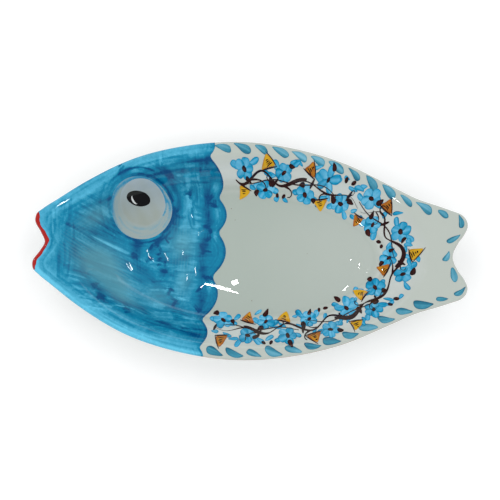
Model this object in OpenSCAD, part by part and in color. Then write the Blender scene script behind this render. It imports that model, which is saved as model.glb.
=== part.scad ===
// Fish shaped serving platter in painted earthenware.
// The dish is one thick shell: a flat oval floor, a wall that rises to the oval edge of the well, and a
// sloping flange whose outer edge is the outline of the fish. An oval foot ring carries it.
// Each colour of paint is a thin film that lies on the inside of the dish and turns over the lip.
// The frame is +X to the tail, +Y to the back of the fish, +Z up, with the origin at the centre of the base.

/* [Dish] */
// Overall length, lips to tail tips
platter_length = 430; // [340:1:520]
// Overall width across the back and the belly
platter_width = 220; // [175:1:270]
// Depth of the floor below the edge of the well
well_depth = 33; // [22:1:44]
// Thickness of the clay
clay_thickness = 6; // [4:0.5:8]

/* [Flange] */
// Plan width of the flange along the back and the belly
side_flange = 11; // [9:0.5:15]
// Plan width of the flange behind the notch of the mouth
mouth_flange = 18; // [14:1:24]
// Plan width of the flange before the notch of the tail
tail_flange = 22; // [16:1:30]
// Slope at which the flange rises outwards, in degrees
flange_slope = 10; // [4:1:16]

/* [Wall] */
// Plan width of the wall along the back and the belly
side_wall_run = 43; // [36:1:50]
// Plan width of the wall at the mouth and tail ends
end_wall_run = 58; // [46:1:70]

/* [Foot] */
// Height of the foot ring
foot_height = 4; // [2.5:0.5:8]
// Width of the foot ring's standing face
foot_face = 7; // [4:0.5:10]
// Plan distance from the edge of the floor to the foot ring
foot_inset = 7; // [4:0.5:10]

/* [Head paint] */
// Thickness of each film of paint
film = 0.3; // [0.2:0.05:0.6]
// Length of the pale ring round the eye, along the fish
ring_length = 61; // [56:1:68]
// Height of the pale ring round the eye, across the fish
ring_height = 59; // [54:1:64]
// Length of the white of the eye
white_length = 45; // [38:1:50]
// Height of the white of the eye
white_height = 44; // [38:1:48]
// Length of the pupil
pupil_length = 23; // [16:1:30]
// Height of the pupil
pupil_height = 14; // [10:1:20]
// Width of the red line on the mouth
lip_band = 4.5; // [3:0.5:7]

/* [Border paint] */
// Number of strokes round the flange, from gill to gill
stroke_count = 31; // [17:1:36]
// Length of a stroke
stroke_length = 18; // [13:1:21]
// Width of a stroke at its fullest
stroke_width = 6.8; // [4:0.2:8]
// Plan distance from the lip to the middle of a stroke
stroke_inset = 6.2; // [5:0.2:8]

/* [Garland paint] */
// Number of blossoms from gill to gill
blossom_count = 20; // [9:1:24]
// Radius of the largest blossom
blossom_radius = 10; // [6:0.5:11]
// Length of a blossom's dark centre
centre_length = 5.4; // [3:0.2:7]
// Width of a blossom's dark centre
centre_width = 3.6; // [2:0.2:5]
// How far the motifs stand to each side of the garland's middle
garland_sway = 10; // [8:0.5:12]
// Width of the vine
vine_width = 1.6; // [1:0.1:2.4]
// Length of a leaf
leaf_length = 12; // [7:0.5:14]
// Width of a leaf
leaf_width = 6; // [3:0.5:7]
// Radius of a three cornered bud
bud_radius = 6.4; // [4:0.2:8]
// Radius of a berry
berry_radius = 1.8; // [1:0.1:2.4]

/* [Hidden] */

// Colours of the glaze, the clay and the paints
glaze_white = [0.80, 0.82, 0.80];
bare_clay = [0.72, 0.46, 0.33];
wash_blue = [0.13, 0.53, 0.69];
stroke_blue = [0.25, 0.66, 0.83];
lip_red = [0.70, 0.16, 0.14];
ring_blue = [0.55, 0.68, 0.70];
eye_grey = [0.70, 0.74, 0.72];
pupil_black = [0.03, 0.04, 0.05];
vine_brown = [0.25, 0.10, 0.08];
bud_ochre = [0.83, 0.55, 0.16];

// Outline of the back from the notch of the mouth to the notch of the tail, as shares of half the length
// and half the width. The belly is its mirror image.
back_shares = [
    [-0.951, 0], [-0.969, 0.081], [-1, 0.197], [-0.995, 0.25], [-0.967, 0.303], [-0.911, 0.385],
    [-0.772, 0.579], [-0.548, 0.815], [-0.324, 0.942], [-0.045, 1], [0.207, 0.948], [0.431, 0.829],
    [0.654, 0.63], [0.766, 0.526], [0.878, 0.453], [0.934, 0.414], [0.971, 0.385], [0.993, 0.339],
    [1, 0.29], [0.985, 0.204], [0.96, 0.132], [0.934, 0]
];
// Valleys between the scallops of the gill, from the back to the belly, in the same shares
gill_shares = [[-0.21, 1.05], [-0.21, 0.85], [-0.163, 0.53], [-0.159, 0.2], [-0.18, -0.215], [-0.22, -0.62],
               [-0.218, -0.9], [-0.215, -1.05]];
// Middle of the pale ring round the eye, in the same shares
ring_shares = [-0.523, 0.38];
// Where the white lies in the ring and the pupil in the white: 0 is the middle and 1 against the edge
white_shares = [0.1, 0.8];
pupil_shares = [-0.39, 0.29];
// Height on the mouth at which the red line ends, as a share of half the width
lip_reach_share = 0.27;
// How far a scallop stands out, as a share of its own height
scallop_rise_share = 0.25;

// Start and end of the garland on the oval of the well, as shares of a half turn from the tail
garland_turn_shares = [0.533, -0.561];
// Where its middle runs, as a share of the way from the floor to the edge of the well
garland_wall_share = 0.52;
// How far the blossoms, leaves, buds, berries and the swings of the vine stand out, as shares of the sway
blossom_side_share = 0.8;
leaf_side_share = 1;
bud_side_share = -1.35;
berry_side_share = -1.4;
vine_side_share = -0.5;
// Places of the leaves and berries beside a blossom's middle, as shares of the distance to the next blossom
leaf_shares = [-0.4, 0.4];
berry_shares = [-0.17, 0.17];
// How far the leaf before a blossom and the leaf after it stand apart outwards, as shares of the sway
leaf_offset_shares = [-0.15, 0.15];
// How unevenly the motifs are spaced, stand out and grow, as shares of the same sizes
uneven_spacing_share = 0.12;
uneven_side_share = 0.25;
uneven_size_share = 0.08;
// How far the leaves turn from the garland's heading, and how unevenly the leaves and buds turn, in degrees
leaf_turn = 35;
uneven_turn = 25;
// Where the sides of a bud are drawn in, as a share of its radius
bud_waist_share = 0.6;
// Slant of the border strokes to the outline, in degrees
stroke_slant = 22;
// Where the first stroke stands past the gill, as a share of its length
first_stroke_share = 0.67;

// How the wall leaves the floor: more makes a longer sweep at the floor and a tighter turn at the flange
wall_sweep = 1.35;
// Steps of the mesh
plan_steps = 43;
wall_steps = 7;
lip_steps = 4;
scallop_steps = 7;
garland_steps = 90;

half_length = platter_length / 2;
half_width = platter_width / 2;
floor_z = foot_height + clay_thickness;
edge_z = floor_z + well_depth;
lip_radius = clay_thickness / 2;
// The oval of the well lies between the two notches
mouth_end = back_shares[0][0] * half_length + mouth_flange;
tail_end = back_shares[len(back_shares) - 1][0] * half_length - tail_flange;
well_x = (mouth_end + tail_end) / 2;
well_a = (tail_end - mouth_end) / 2;
well_b = half_width - side_flange;
floor_a = well_a - end_wall_run;
floor_b = well_b - side_wall_run;
// Clear of the highest point of the lip
top_z = edge_z + half_length * tan(flange_slope) + clay_thickness;

// Points and paths

function unit(v) = v / norm(v);
function last(list) = list[len(list) - 1];
function reversed(list) = [for (i = [len(list) - 1 : -1 : 0]) list[i]];
function placed(share) = [share[0] * half_length, share[1] * half_width];
function oval(a, b, angle) = [well_x + a * cos(angle), b * sin(angle)];

// Tangent at the middle one of three points
function tangent(a, b, c) =
    let (before = norm(b - a), after = norm(c - b))
    ((b - a) * after / before + (c - b) * before / after) / (before + after);

// A point of the smooth curve from b to c, whose neighbours are a and d
function smooth_point(a, b, c, d, t) =
    let (span = norm(c - b), leave = tangent(a, b, c) * span, arrive = tangent(b, c, d) * span)
    b * (2 * t ^ 3 - 3 * t ^ 2 + 1) + leave * (t ^ 3 - 2 * t ^ 2 + t)
    + c * (3 * t ^ 2 - 2 * t ^ 3) + arrive * (t ^ 3 - t ^ 2);

// A smooth closed curve through the points, cut into steps of about the given length
function closed_curve(points, step) =
    let (n = len(points))
    [for (i = [0 : n - 1])
        let (a = points[(i + n - 1) % n], b = points[i], c = points[(i + 1) % n], d = points[(i + 2) % n],
             cuts = max(2, round(norm(c - b) / step)))
        for (k = [0 : cuts - 1]) smooth_point(a, b, c, d, k / cuts)];

back = [for (share = back_shares) placed(share)];
belly = [for (i = [len(back) - 2 : -1 : 1]) [back[i][0], -back[i][1]]];
outline = closed_curve(concat(back, belly), platter_length / plan_steps);
count = len(outline);

// Length walked from the start of a path to each of its points
function stride(path, i) = i < len(path) ? norm(path[i] - path[i - 1]) : 0;
function walks(path) = [for (i = 0, walk = 0; i < len(path); i = i + 1, walk = walk + stride(path, i)) walk];

// The place and the heading at a share of the length of a path
function walked(path, share) =
    let (walk = walks(path), goal = share * last(walk),
         i = max([for (k = [0 : len(path) - 2]) if (walk[k] <= goal) k]),
         way = path[i + 1] - path[i])
    [path[i] + way * (goal - walk[i]) / norm(way), atan2(way[1], way[0])];

// Surfaces of the dish. For each point of the outline a ray runs outwards over the floor, wall and flange.

function ray_angle(i) = atan2(outline[i][1] / well_b, (outline[i][0] - well_x) / well_a);

// A point above the clay by lift, in the upright plane along the ray
function lifted(place, z, along, slope, lift) =
    [place[0] - along[0] * sin(slope) * lift, place[1] - along[1] * sin(slope) * lift, z + cos(slope) * lift];

// The wall leaves the floor level and meets the flange at the slope of the flange
function wall_point(i, t, lift) =
    let (foot = oval(floor_a, floor_b, ray_angle(i)), edge = oval(well_a, well_b, ray_angle(i)),
         run = norm(edge - foot), kick = tan(flange_slope) * run / wall_sweep, s = t ^ wall_sweep,
         z = floor_z + well_depth * (3 * s ^ 2 - 2 * s ^ 3) + kick * (s ^ 3 - s ^ 2),
         climb = 6 * well_depth * (s - s ^ 2) + kick * (3 * s ^ 2 - 2 * s),
         slope = atan2(climb * wall_sweep * t ^ (wall_sweep - 1), run))
    lifted(foot + (edge - foot) * t, z, unit(edge - foot), slope, lift);

// Plan length of the flange on a ray, up to where the lip starts to turn
function flange_run(i, edge) = norm(outline[i] - edge) - lip_radius * (1 + sin(flange_slope));

function flange_point(i, t, lift) =
    let (edge = oval(well_a, well_b, ray_angle(i)), along = unit(outline[i] - edge),
         run = flange_run(i, edge) * t)
    lifted(edge + along * run, edge_z + run * tan(flange_slope), along, flange_slope, lift);

// The lip is a half round about the middle of the clay: a turn of 0 is its top and 180 its underside
function lip_point(i, turn, lift) =
    let (edge = oval(well_a, well_b, ray_angle(i)), along = unit(outline[i] - edge),
         run = flange_run(i, edge), z = edge_z + run * tan(flange_slope),
         middle = lifted(edge + along * run, z, along, flange_slope, -lip_radius))
    lifted([middle[0], middle[1]], middle[2], along, flange_slope - turn, lip_radius + lift);

// Rings of points from the floor outwards, to where the lip starts
function inside_rings(lift) = concat(
    [for (j = [0 : wall_steps]) [for (i = [0 : count - 1]) wall_point(i, j / wall_steps, lift)]],
    [for (t = [1 / 2, 1]) [for (i = [0 : count - 1]) flange_point(i, t, lift)]]
);
function lip_rings(lift, rings) =
    [for (k = [1 : rings]) [for (i = [0 : count - 1]) lip_point(i, k * 180 / lip_steps, lift)]];

// A closed skin over rings of points. The first rings lead outwards and those after turn lead back. Each
// four points are split along the same diagonal both ways, so that a film lies face to face with the clay.
module skin(rings, turn) {
    faces = concat(
        [[for (i = [0 : count - 1]) i]],
        [for (k = [0 : len(rings) - 2], i = [0 : count - 1])
            let (a = k * count + i, b = k * count + (i + 1) % count, c = a + count, d = b + count)
            each k < turn ? [[a, c, d], [a, d, b]] : [[a, c, b], [c, d, b]]],
        [[for (i = [count - 1 : -1 : 0]) (len(rings) - 1) * count + i]]
    );
    polyhedron(points = [for (ring = rings) each ring], faces = faces);
}

// Paints the plan that is given as children: a film over the inside of the dish and the outer face of the lip
module painted() {
    outer = concat(inside_rings(film), lip_rings(film, lip_steps / 2));
    inner = concat(inside_rings(0), lip_rings(0, lip_steps / 2));
    intersection() {
        skin(concat(outer, reversed(inner)), len(outer));
        linear_extrude(top_z) children();
    }
}

module dish() {
    outer = concat(inside_rings(0), lip_rings(0, lip_steps - 1));
    color(glaze_white) skin(concat(outer, reversed(inside_rings(-clay_thickness))), len(outer));
}

foot_a = floor_a - foot_inset;
foot_b = floor_b - foot_inset;
module foot_plan(inset) {
    sides = 2 * plan_steps;
    polygon([for (i = [0 : sides - 1]) oval(foot_a - inset, foot_b - inset, 360 * i / sides)]);
}

module foot_ring() {
    color(bare_clay) linear_extrude(foot_height) difference() {
        foot_plan(0);
        foot_plan(foot_face);
    }
}

// Plans of the paint on the head

module spot(place, size, sides) {
    translate(place)
        polygon([for (i = [0 : sides - 1])
            let (turn = 360 * i / sides) [size[0] / 2 * cos(turn), size[1] / 2 * sin(turn)]]);
}

ring_size = [ring_length, ring_height];
white_size = [white_length, white_height];
pupil_size = [pupil_length, pupil_height];
function nested(outer, inner, shares) = [for (i = [0, 1]) (outer[i] - inner[i]) / 2 * shares[i]];
ring_place = placed(ring_shares);
white_place = ring_place + nested(ring_size, white_size, white_shares);
pupil_place = white_place + nested(white_size, pupil_size, pupil_shares);
module ring_plan() { spot(ring_place, ring_size, 36); }
module white_plan() { spot(white_place, white_size, 32); }
module pupil_plan() { spot(pupil_place, pupil_size, 24); }

// One scallop of the gill: the points from one valley to just before the next
function scallop(a, b) =
    let (rise = norm(b - a) * scallop_rise_share)
    [for (k = [0 : scallop_steps - 1])
        let (t = k / scallop_steps) a + (b - a) * t + [rise * 4 * t * (1 - t), 0]];
gill = [for (share = gill_shares) placed(share)];
gill_line = [for (i = [0 : len(gill) - 2]) each scallop(gill[i], gill[i + 1])];

module head_plan() {
    corners = [[-platter_length, last(gill)[1]], [-platter_length, gill[0][1]]];
    polygon(concat(gill_line, [last(gill)], corners));
}

// The part of the mouth that the outline uncovers when it is shifted by the width of the red line
module lip_plan() {
    difference() {
        translate([-platter_length, -half_width * lip_reach_share])
            square([platter_length - half_length / 2, platter_width * lip_reach_share]);
        translate([lip_band, 0]) polygon(outline);
    }
}

module head_wash() {
    color(wash_blue) painted() difference() {
        head_plan();
        lip_plan();
        ring_plan();
        white_plan();
        pupil_plan();
    }
}

module lip_line() {
    color(lip_red) painted() lip_plan();
}

module eye_ring() {
    color(ring_blue) painted() difference() {
        ring_plan();
        white_plan();
        pupil_plan();
    }
}

module eye_white() {
    color(eye_grey) painted() difference() {
        white_plan();
        pupil_plan();
    }
}

module eye_pupil() {
    color(pupil_black) painted() pupil_plan();
}

// A drop about its middle, with its point towards +X
drop_sides = 12;
drop_fullest = 3 * sqrt(3) / 4;
module drop_plan(place, angle, length, width) {
    translate(place) rotate(angle)
        polygon([for (i = [0 : drop_sides - 1])
            let (turn = 360 * i / drop_sides)
            [length / 2 * cos(turn), width / 2 * sin(turn) * (1 - cos(turn)) / drop_fullest]]);
}

// The border strokes follow a line inside the outline, with their points at the lip and their heads inwards
border_line = [
    for (i = [0 : count - 1])
        let (way = unit(outline[(i + 1) % count] - outline[(i + count - 1) % count]),
             place = outline[i] + [way[1], -way[0]] * stroke_inset)
        if (place[0] > gill[1][0] + stroke_length * first_stroke_share) place];

module strokes_plan() {
    for (k = [0 : stroke_count - 1]) {
        stroke = walked(border_line, k / (stroke_count - 1));
        drop_plan(stroke[0], stroke[1] - stroke_slant + 180, stroke_length, stroke_width);
    }
}

// Plans of the garland. A motif stands at a share of the garland's length and a share of its sway, outwards.

garland_line = [
    for (k = [0 : garland_steps])
        let (from = garland_turn_shares[0], to = garland_turn_shares[1],
             angle = 180 * (from + (to - from) * k / garland_steps))
        oval(floor_a, floor_b, angle) * (1 - garland_wall_share)
        + oval(well_a, well_b, angle) * garland_wall_share];

function heading(share) = walked(garland_line, share)[1];
function garland_place(share, side) =
    let (spot = walked(garland_line, share))
    spot[0] + [-sin(spot[1]), cos(spot[1])] * side * garland_sway;

// The unevenness of a hand, between -1 and 1, for the motif with a number
function waver(number) = sin(number * 137);

// The blossoms stand in turn on the outer and the inner side of the vine
function side_of(k) = k % 2 == 0 ? 1 : -1;
function share_of(k) = (k + 1 / 2 + waver(k) * uneven_spacing_share) / blossom_count;
function blossom_place(k) =
    garland_place(share_of(k), side_of(k) * blossom_side_share * (1 + waver(k + 5) * uneven_side_share));

petals = 5;
petal_steps = 5;
function blossom_turn(k) = 360 / petals * waver(k + 7);
module blossoms_plan() {
    steps = petals * petal_steps;
    for (k = [0 : blossom_count - 1]) {
        radius = blossom_radius * (1 - (1 - waver(k + 3)) * uneven_size_share);
        translate(blossom_place(k)) rotate(blossom_turn(k))
            polygon([for (i = [0 : steps - 1])
                let (turn = 360 * i / steps, reach = radius * (1 + abs(cos(turn * petals / 2))) / 2)
                [reach * cos(turn), reach * sin(turn)]]);
    }
}

module centres_plan() {
    for (k = [0 : blossom_count - 1])
        translate(blossom_place(k)) rotate(blossom_turn(k)) spot([0, 0], [centre_length, centre_width], 10);
}

// The vine swings to the far side of each blossom
vine_steps = 5;
module vine_plan() {
    steps = vine_steps * blossom_count;
    line = [for (k = [0 : steps]) garland_place(k / steps, vine_side_share * sin(180 * k / vine_steps))];
    edge = [for (k = [1 : steps - 1])
        let (way = unit(line[k + 1] - line[k - 1])) [-way[1], way[0]] * vine_width / 2];
    polygon(concat(
        [line[0]], [for (k = [1 : steps - 1]) line[k] + edge[k - 1]],
        [line[steps]], [for (k = [steps - 1 : -1 : 1]) line[k] - edge[k - 1]]
    ));
}

// A leaf before and a leaf after each blossom, with their points at the blossom
module leaves_plan() {
    for (k = [0 : blossom_count - 1], after = [0, 1]) {
        share = share_of(k) + leaf_shares[after] / blossom_count;
        side = leaf_side_share + leaf_offset_shares[after] + uneven_side_share * waver(k + 9);
        turn = (leaf_turn + uneven_turn * waver(k + 4)) * (2 * after - 1);
        tip = heading(share) + side_of(k) * turn + (after == 1 ? 180 : 0);
        drop_plan(garland_place(share, side_of(k) * side), tip, leaf_length, leaf_width);
    }
}

// Two of each three blossoms have a bud opposite them, and the third has two berries
module buds_plan() {
    for (k = [0 : blossom_count - 1])
        if (k % 3 != 2) {
            share = share_of(k);
            translate(garland_place(share, bud_side_share * side_of(k)))
                rotate(heading(share) - 90 * side_of(k) + uneven_turn * waver(k + 2))
                polygon([for (i = [0 : 5])
                    [cos(60 * i), sin(60 * i)] * bud_radius * (i % 2 == 0 ? 1 : bud_waist_share)]);
        }
}

module berries_plan() {
    for (k = [2 : 3 : blossom_count - 1], berry = berry_shares)
        spot(garland_place(share_of(k) + berry / blossom_count, berry_side_share * side_of(k)),
             [2 * berry_radius, 2 * berry_radius], 8);
}

// What is painted before a colour keeps its place, so no two films overlap
module kept_from_blossoms() { head_plan(); strokes_plan(); centres_plan(); }
module kept_from_buds() { kept_from_blossoms(); blossoms_plan(); }
module kept_from_vine() { kept_from_buds(); buds_plan(); }
module kept_from_leaves() { kept_from_vine(); vine_plan(); }
module kept_from_berries() { kept_from_leaves(); leaves_plan(); }

module border_strokes() {
    color(stroke_blue) painted() difference() { strokes_plan(); head_plan(); }
}

module blossoms() {
    color(stroke_blue) painted() difference() { blossoms_plan(); kept_from_blossoms(); }
}

module blossom_centres() {
    color(vine_brown) painted() difference() { centres_plan(); head_plan(); strokes_plan(); }
}

module buds() {
    color(bud_ochre) painted() difference() { buds_plan(); kept_from_buds(); }
}

module vine() {
    color(vine_brown) painted() difference() { vine_plan(); kept_from_vine(); }
}

module leaves() {
    color(stroke_blue) painted() difference() { leaves_plan(); kept_from_leaves(); }
}

module berries() {
    color(vine_brown) painted() difference() { berries_plan(); kept_from_berries(); }
}

dish();
foot_ring();
head_wash();
lip_line();
eye_ring();
eye_white();
eye_pupil();
border_strokes();
blossoms();
blossom_centres();
vine();
leaves();
buds();
berries();
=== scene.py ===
import math

import bpy
import numpy as np
from mathutils import Matrix, Vector
from mathutils.geometry import delaunay_2d_cdt


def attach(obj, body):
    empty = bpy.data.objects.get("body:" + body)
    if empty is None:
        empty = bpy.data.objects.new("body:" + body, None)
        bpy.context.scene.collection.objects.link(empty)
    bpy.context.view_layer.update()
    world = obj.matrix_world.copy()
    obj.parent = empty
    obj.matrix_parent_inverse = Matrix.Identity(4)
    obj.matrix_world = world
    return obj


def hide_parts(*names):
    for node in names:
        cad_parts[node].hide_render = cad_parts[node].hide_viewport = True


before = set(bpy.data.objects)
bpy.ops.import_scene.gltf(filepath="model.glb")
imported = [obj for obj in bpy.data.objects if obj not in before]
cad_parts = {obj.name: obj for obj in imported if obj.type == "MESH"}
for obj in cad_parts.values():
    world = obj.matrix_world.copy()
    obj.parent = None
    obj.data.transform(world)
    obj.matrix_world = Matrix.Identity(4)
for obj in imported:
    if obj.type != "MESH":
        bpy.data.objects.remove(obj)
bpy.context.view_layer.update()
print("frame loaded:", ", ".join(sorted(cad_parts)))

mm = 0.001

# Sizes in millimetres and degrees, the same as the solids have
platter = {
    "length": 430,
    "width": 220,
    "wellDepth": 33,
    "clay": 6,
    "sideFlange": 11,
    "mouthFlange": 18,
    "tailFlange": 22,
    "flangeSlope": 10,
    "sideWallRun": 43,
    "endWallRun": 58,
    "wallSweep": 1.35,
    "footHeight": 4,
    "footFace": 7,
    "footInset": 7,
    # the outline of the back, as shares of half the length and half the width
    "backShares": [
        (-0.951, 0), (-0.969, 0.081), (-1, 0.197), (-0.995, 0.25), (-0.967, 0.303), (-0.911, 0.385),
        (-0.772, 0.579), (-0.548, 0.815), (-0.324, 0.942), (-0.045, 1), (0.207, 0.948), (0.431, 0.829),
        (0.654, 0.63), (0.766, 0.526), (0.878, 0.453), (0.934, 0.414), (0.971, 0.385), (0.993, 0.339),
        (1, 0.29), (0.985, 0.204), (0.96, 0.132), (0.934, 0),
    ],
    "handWave": 0.16,  # how far the thrown clay strays from its true form
    "outlineStep": 1.7,
}

halfSize = np.array([platter["length"], platter["width"]]) / 2
floorZ = platter["footHeight"] + platter["clay"]
edgeZ = floorZ + platter["wellDepth"]
lipRadius = platter["clay"] / 2
slope = math.radians(platter["flangeSlope"])
mouthEnd = platter["backShares"][0][0] * halfSize[0] + platter["mouthFlange"]
tailEnd = platter["backShares"][-1][0] * halfSize[0] - platter["tailFlange"]
wellMiddle = np.array([(mouthEnd + tailEnd) / 2, 0])
wellSize = np.array([(tailEnd - mouthEnd) / 2, halfSize[1] - platter["sideFlange"]])
wallRun = np.array([platter["endWallRun"], platter["sideWallRun"]])
floorSize = wellSize - wallRun


# A smooth closed curve through the points, cut into steps of about that length
def closedCurve(points, step):
    before, after = points - np.roll(points, 1, 0), np.roll(points, -1, 0) - points
    reach = np.linalg.norm(before, axis=1, keepdims=True)
    onward = np.linalg.norm(after, axis=1, keepdims=True)
    ways = (before * onward / reach + after * reach / onward) / (reach + onward)
    curve = []
    for i, start in enumerate(points):
        end, span = points[(i + 1) % len(points)], onward[i]
        t = np.arange(max(2, round(span[0] / step)))[:, None]
        t = t / len(t)
        leave, arrive = ways[i] * span, ways[(i + 1) % len(points)] * span
        curve.append(start * (2 * t**3 - 3 * t**2 + 1) + leave * (t**3 - 2 * t**2 + t)
                     + end * (3 * t**2 - 2 * t**3) + arrive * (t**3 - t**2))
    return np.vstack(curve)


back = np.array(platter["backShares"]) * halfSize
belly = back[-2:0:-1] * [1, -1]
outline = closedCurve(np.vstack([back, belly]), platter["outlineStep"])  # clockwise, seen from above


def lengths(vectors):
    return np.linalg.norm(vectors, axis=-1)


# Points of an oval about the middle of the well, at those turns
def rayTo(angle, size):
    return wellMiddle + np.stack([np.cos(angle), np.sin(angle)], -1) * size


rimAngles = np.arctan2(*((outline - wellMiddle) / wellSize).T[::-1])
rimReaches = lengths(outline - rayTo(rimAngles, wellSize))
inTurn = np.argsort(rimAngles)


# Plan length of the flange along a ray, up to where the lip starts to turn
def flangeRun(angle):
    reach = np.interp(angle, rimAngles[inTurn], rimReaches[inTurn], period=2 * math.pi)
    return reach - lipRadius * (1 + math.sin(slope))


# Strays a little from the true form, as hand made ware does, but not at the foot
def waved(points):
    x, y, z = points.T
    wave = (np.sin(x / 23 + 1.3 * np.sin(y / 41)) + np.sin(y / 17 + x / 67 + 2)
            + 0.6 * np.sin(x / 11 - y / 13 + 4)) / 2.6
    fade = np.clip((z - floorZ) / 12, 0.25, 1) * np.clip(z / floorZ, 0, 1)
    return np.c_[x, y, z + platter["handWave"] * wave * fade * (z > platter["footHeight"] + 0.01)]


def wallHeight(t, run):
    s = t ** platter["wallSweep"]
    kick = math.tan(slope) * run / platter["wallSweep"]
    return floorZ + platter["wellDepth"] * (3 * s**2 - 2 * s**3) + kick * (s**3 - s**2)


# Points of the inside of the dish. Past the flange, the plan goes on as it unrolls the lip
def surfacePoint(plan):
    place = plan - wellMiddle
    t = np.zeros(len(plan))
    for step in range(12):  # which oval between the floor and the edge of the well goes through the place
        size = floorSize + wallRun * t[:, None]
        gap = ((place / size) ** 2).sum(1) - 1
        fall = -2 * (place**2 * wallRun / size**3).sum(1)
        t = np.maximum(t - gap / np.minimum(fall, -1e-9), 0)
    angle = np.arctan2(*(place / (floorSize + wallRun * t[:, None])).T[::-1])
    run = lengths(wallRun * np.stack([np.cos(angle), np.sin(angle)], -1))
    height = wallHeight(np.minimum(t, 1), run)
    rays = np.arctan2(*(place / wellSize).T[::-1])
    edge = rayTo(rays, wellSize)
    out = lengths(place) - lengths(edge - wellMiddle)
    straight = flangeRun(rays)
    along = (edge - wellMiddle) / lengths(edge - wellMiddle)[:, None]
    past = np.maximum(out - straight, 0) / lipRadius
    onFlange = np.minimum(out, straight)
    rolled = straight + lipRadius * (math.sin(slope) + np.sin(past - slope))
    reach = np.where(past > 0, rolled, onFlange)
    rise = np.where(past > 0, lipRadius * (np.cos(slope - past) - math.cos(slope)), 0)
    lip = np.c_[edge + along * reach[:, None], edgeZ + onFlange * math.tan(slope) + rise]
    return waved(np.where((out > 0)[:, None], lip, np.c_[plan, height]))


def surfaceNormal(plan):
    step = 0.05
    alongX = surfacePoint(plan + [step, 0]) - surfacePoint(plan - [step, 0])
    alongY = surfacePoint(plan + [0, step]) - surfacePoint(plan - [0, step])
    normal = np.cross(alongX, alongY)
    return normal / lengths(normal)[:, None]


# The plan, unrolled, of the line on the lip at that many degrees from its top
def unrolledRim(turn):
    edge = rayTo(rimAngles, wellSize)
    along = (edge - wellMiddle) / lengths(edge - wellMiddle)[:, None]
    return edge + along * (flangeRun(rimAngles) + lipRadius * math.radians(turn))[:, None]


def insideLoop(points, loop):
    x, y = points[:, 0], points[:, 1]
    hits = np.zeros(len(points), bool)
    for (x0, y0), (x1, y1) in zip(loop, np.roll(loop, -1, 0)):
        if y0 != y1:
            hits ^= ((y0 > y) != (y1 > y)) & (x < (x1 - x0) * (y - y0) / (y1 - y0) + x0)
    return hits


# The distance from each point to the nearest side of a loop
def gapToLoop(points, loop):
    best = np.full(len(points), 1e9)
    for a, b in zip(loop, np.roll(loop, -1, 0)):
        way = b - a
        t = np.clip(((points - a) @ way) / max(way @ way, 1e-12), 0, 1)
        best = np.minimum(best, lengths(points - a - t[:, None] * way))
    return best


# How a patch is cut into triangles, in shares of the spacing, and the smallest one that is kept
net = {"rowShare": 0.87, "clearance": 0.45, "leastArea": 1e-5}


# Triangles over the first loop, with the other loops as lines in it
def triangulated(loops, spacing):
    low, high = loops[0].min(0), loops[0].max(0)
    rows = [np.zeros((0, 2))]
    for k, y in enumerate(np.arange(low[1], high[1], spacing * net["rowShare"])):
        x = np.arange(low[0] + spacing / 2 * (k % 2), high[0], spacing)
        rows.append(np.c_[x, np.full(len(x), y)])
    points = np.vstack(rows)
    points = points[insideLoop(points, loops[0])]
    for loop in loops:
        points = points[gapToLoop(points, loop) >= spacing * net["clearance"]]
    corners, sides = [], []
    for loop in loops:
        start = len(corners)
        corners += list(loop)
        sides += [(start + i, start + (i + 1) % len(loop)) for i in range(len(loop))]
    found = delaunay_2d_cdt([Vector(p) for p in corners + list(points)], sides, [], 0, 1e-5)
    plan = np.array([tuple(p) for p in found[0]])
    faces = np.array(found[2])
    a, b, c = plan[faces[:, 0]], plan[faces[:, 1]], plan[faces[:, 2]]
    area = (b - a)[:, 0] * (c - a)[:, 1] - (b - a)[:, 1] * (c - a)[:, 0]
    faces[area < 0] = faces[area < 0][:, ::-1]
    faces = faces[np.abs(area) > net["leastArea"]]
    return plan, faces[insideLoop(plan[faces].mean(1), loops[0])]


# The same, with the triangles around the inner loops and those inside them apart
def cutPatch(loops, spacing):
    plan, faces = triangulated(loops, spacing)
    middles = plan[faces].mean(1)
    within = np.any([insideLoop(middles, loop) for loop in loops[1:]], axis=0)
    return plan, faces[~within], faces[within]


# The same loop, with points at even steps
def evenLoop(loop, step):
    closed = np.vstack([loop, loop[:1]])
    walk = np.r_[0, np.cumsum(lengths(np.diff(closed, axis=0)))]
    at = np.linspace(0, walk[-1], max(6, round(walk[-1] / step)), endpoint=False)
    return np.c_[np.interp(at, walk, closed[:, 0]), np.interp(at, walk, closed[:, 1])]


def addObject(name, data):
    thing = bpy.data.objects.new(name, data)
    bpy.context.scene.collection.objects.link(thing)
    return thing


# A piece from points in millimetres, with its marks as attributes of the points
def meshPiece(name, points, faces, uv, marks, loopNormals=None):
    mesh = bpy.data.meshes.new(name)
    mesh.from_pydata((np.asarray(points) * mm).tolist(), [], [list(map(int, f)) for f in faces])
    mesh.shade_smooth()
    for mark, values in marks.items():
        mesh.attributes.new(mark, "FLOAT", "POINT").data.foreach_set("value", np.asarray(values, np.float32))
    mesh.uv_layers.new(name="OFBake").data.foreach_set("uv", np.asarray(uv, np.float32).ravel())
    if loopNormals is not None:
        mesh.normals_split_custom_set(loopNormals.tolist())
    return addObject(name, mesh)


# Says what a piece is made of and which solids it stands for; its slot is not used
def finishPiece(piece, material, slot, *nodes):
    piece.data.materials.append(materials[material])
    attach(piece, "root")
    if nodes:
        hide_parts(*nodes)
    print(f"{piece.name}: {len(piece.data.polygons)} faces")


# Paint

paint = {
    "film": 0.16,  # how high the first colour stands over the clay
    "layer": 0.02,  # and how much higher each later touch of the brush
    "sunk": 0.05,  # how far a film reaches into the clay
    "touchStep": 0.8,
    "upperChart": ((0.98, 0.72), (0.01, 0.27)),  # size and place in the texture square
    "lowerChart": ((0.98, 0.22), (0.01, 0.01)),
    "sideChart": 0.004,
}


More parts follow.
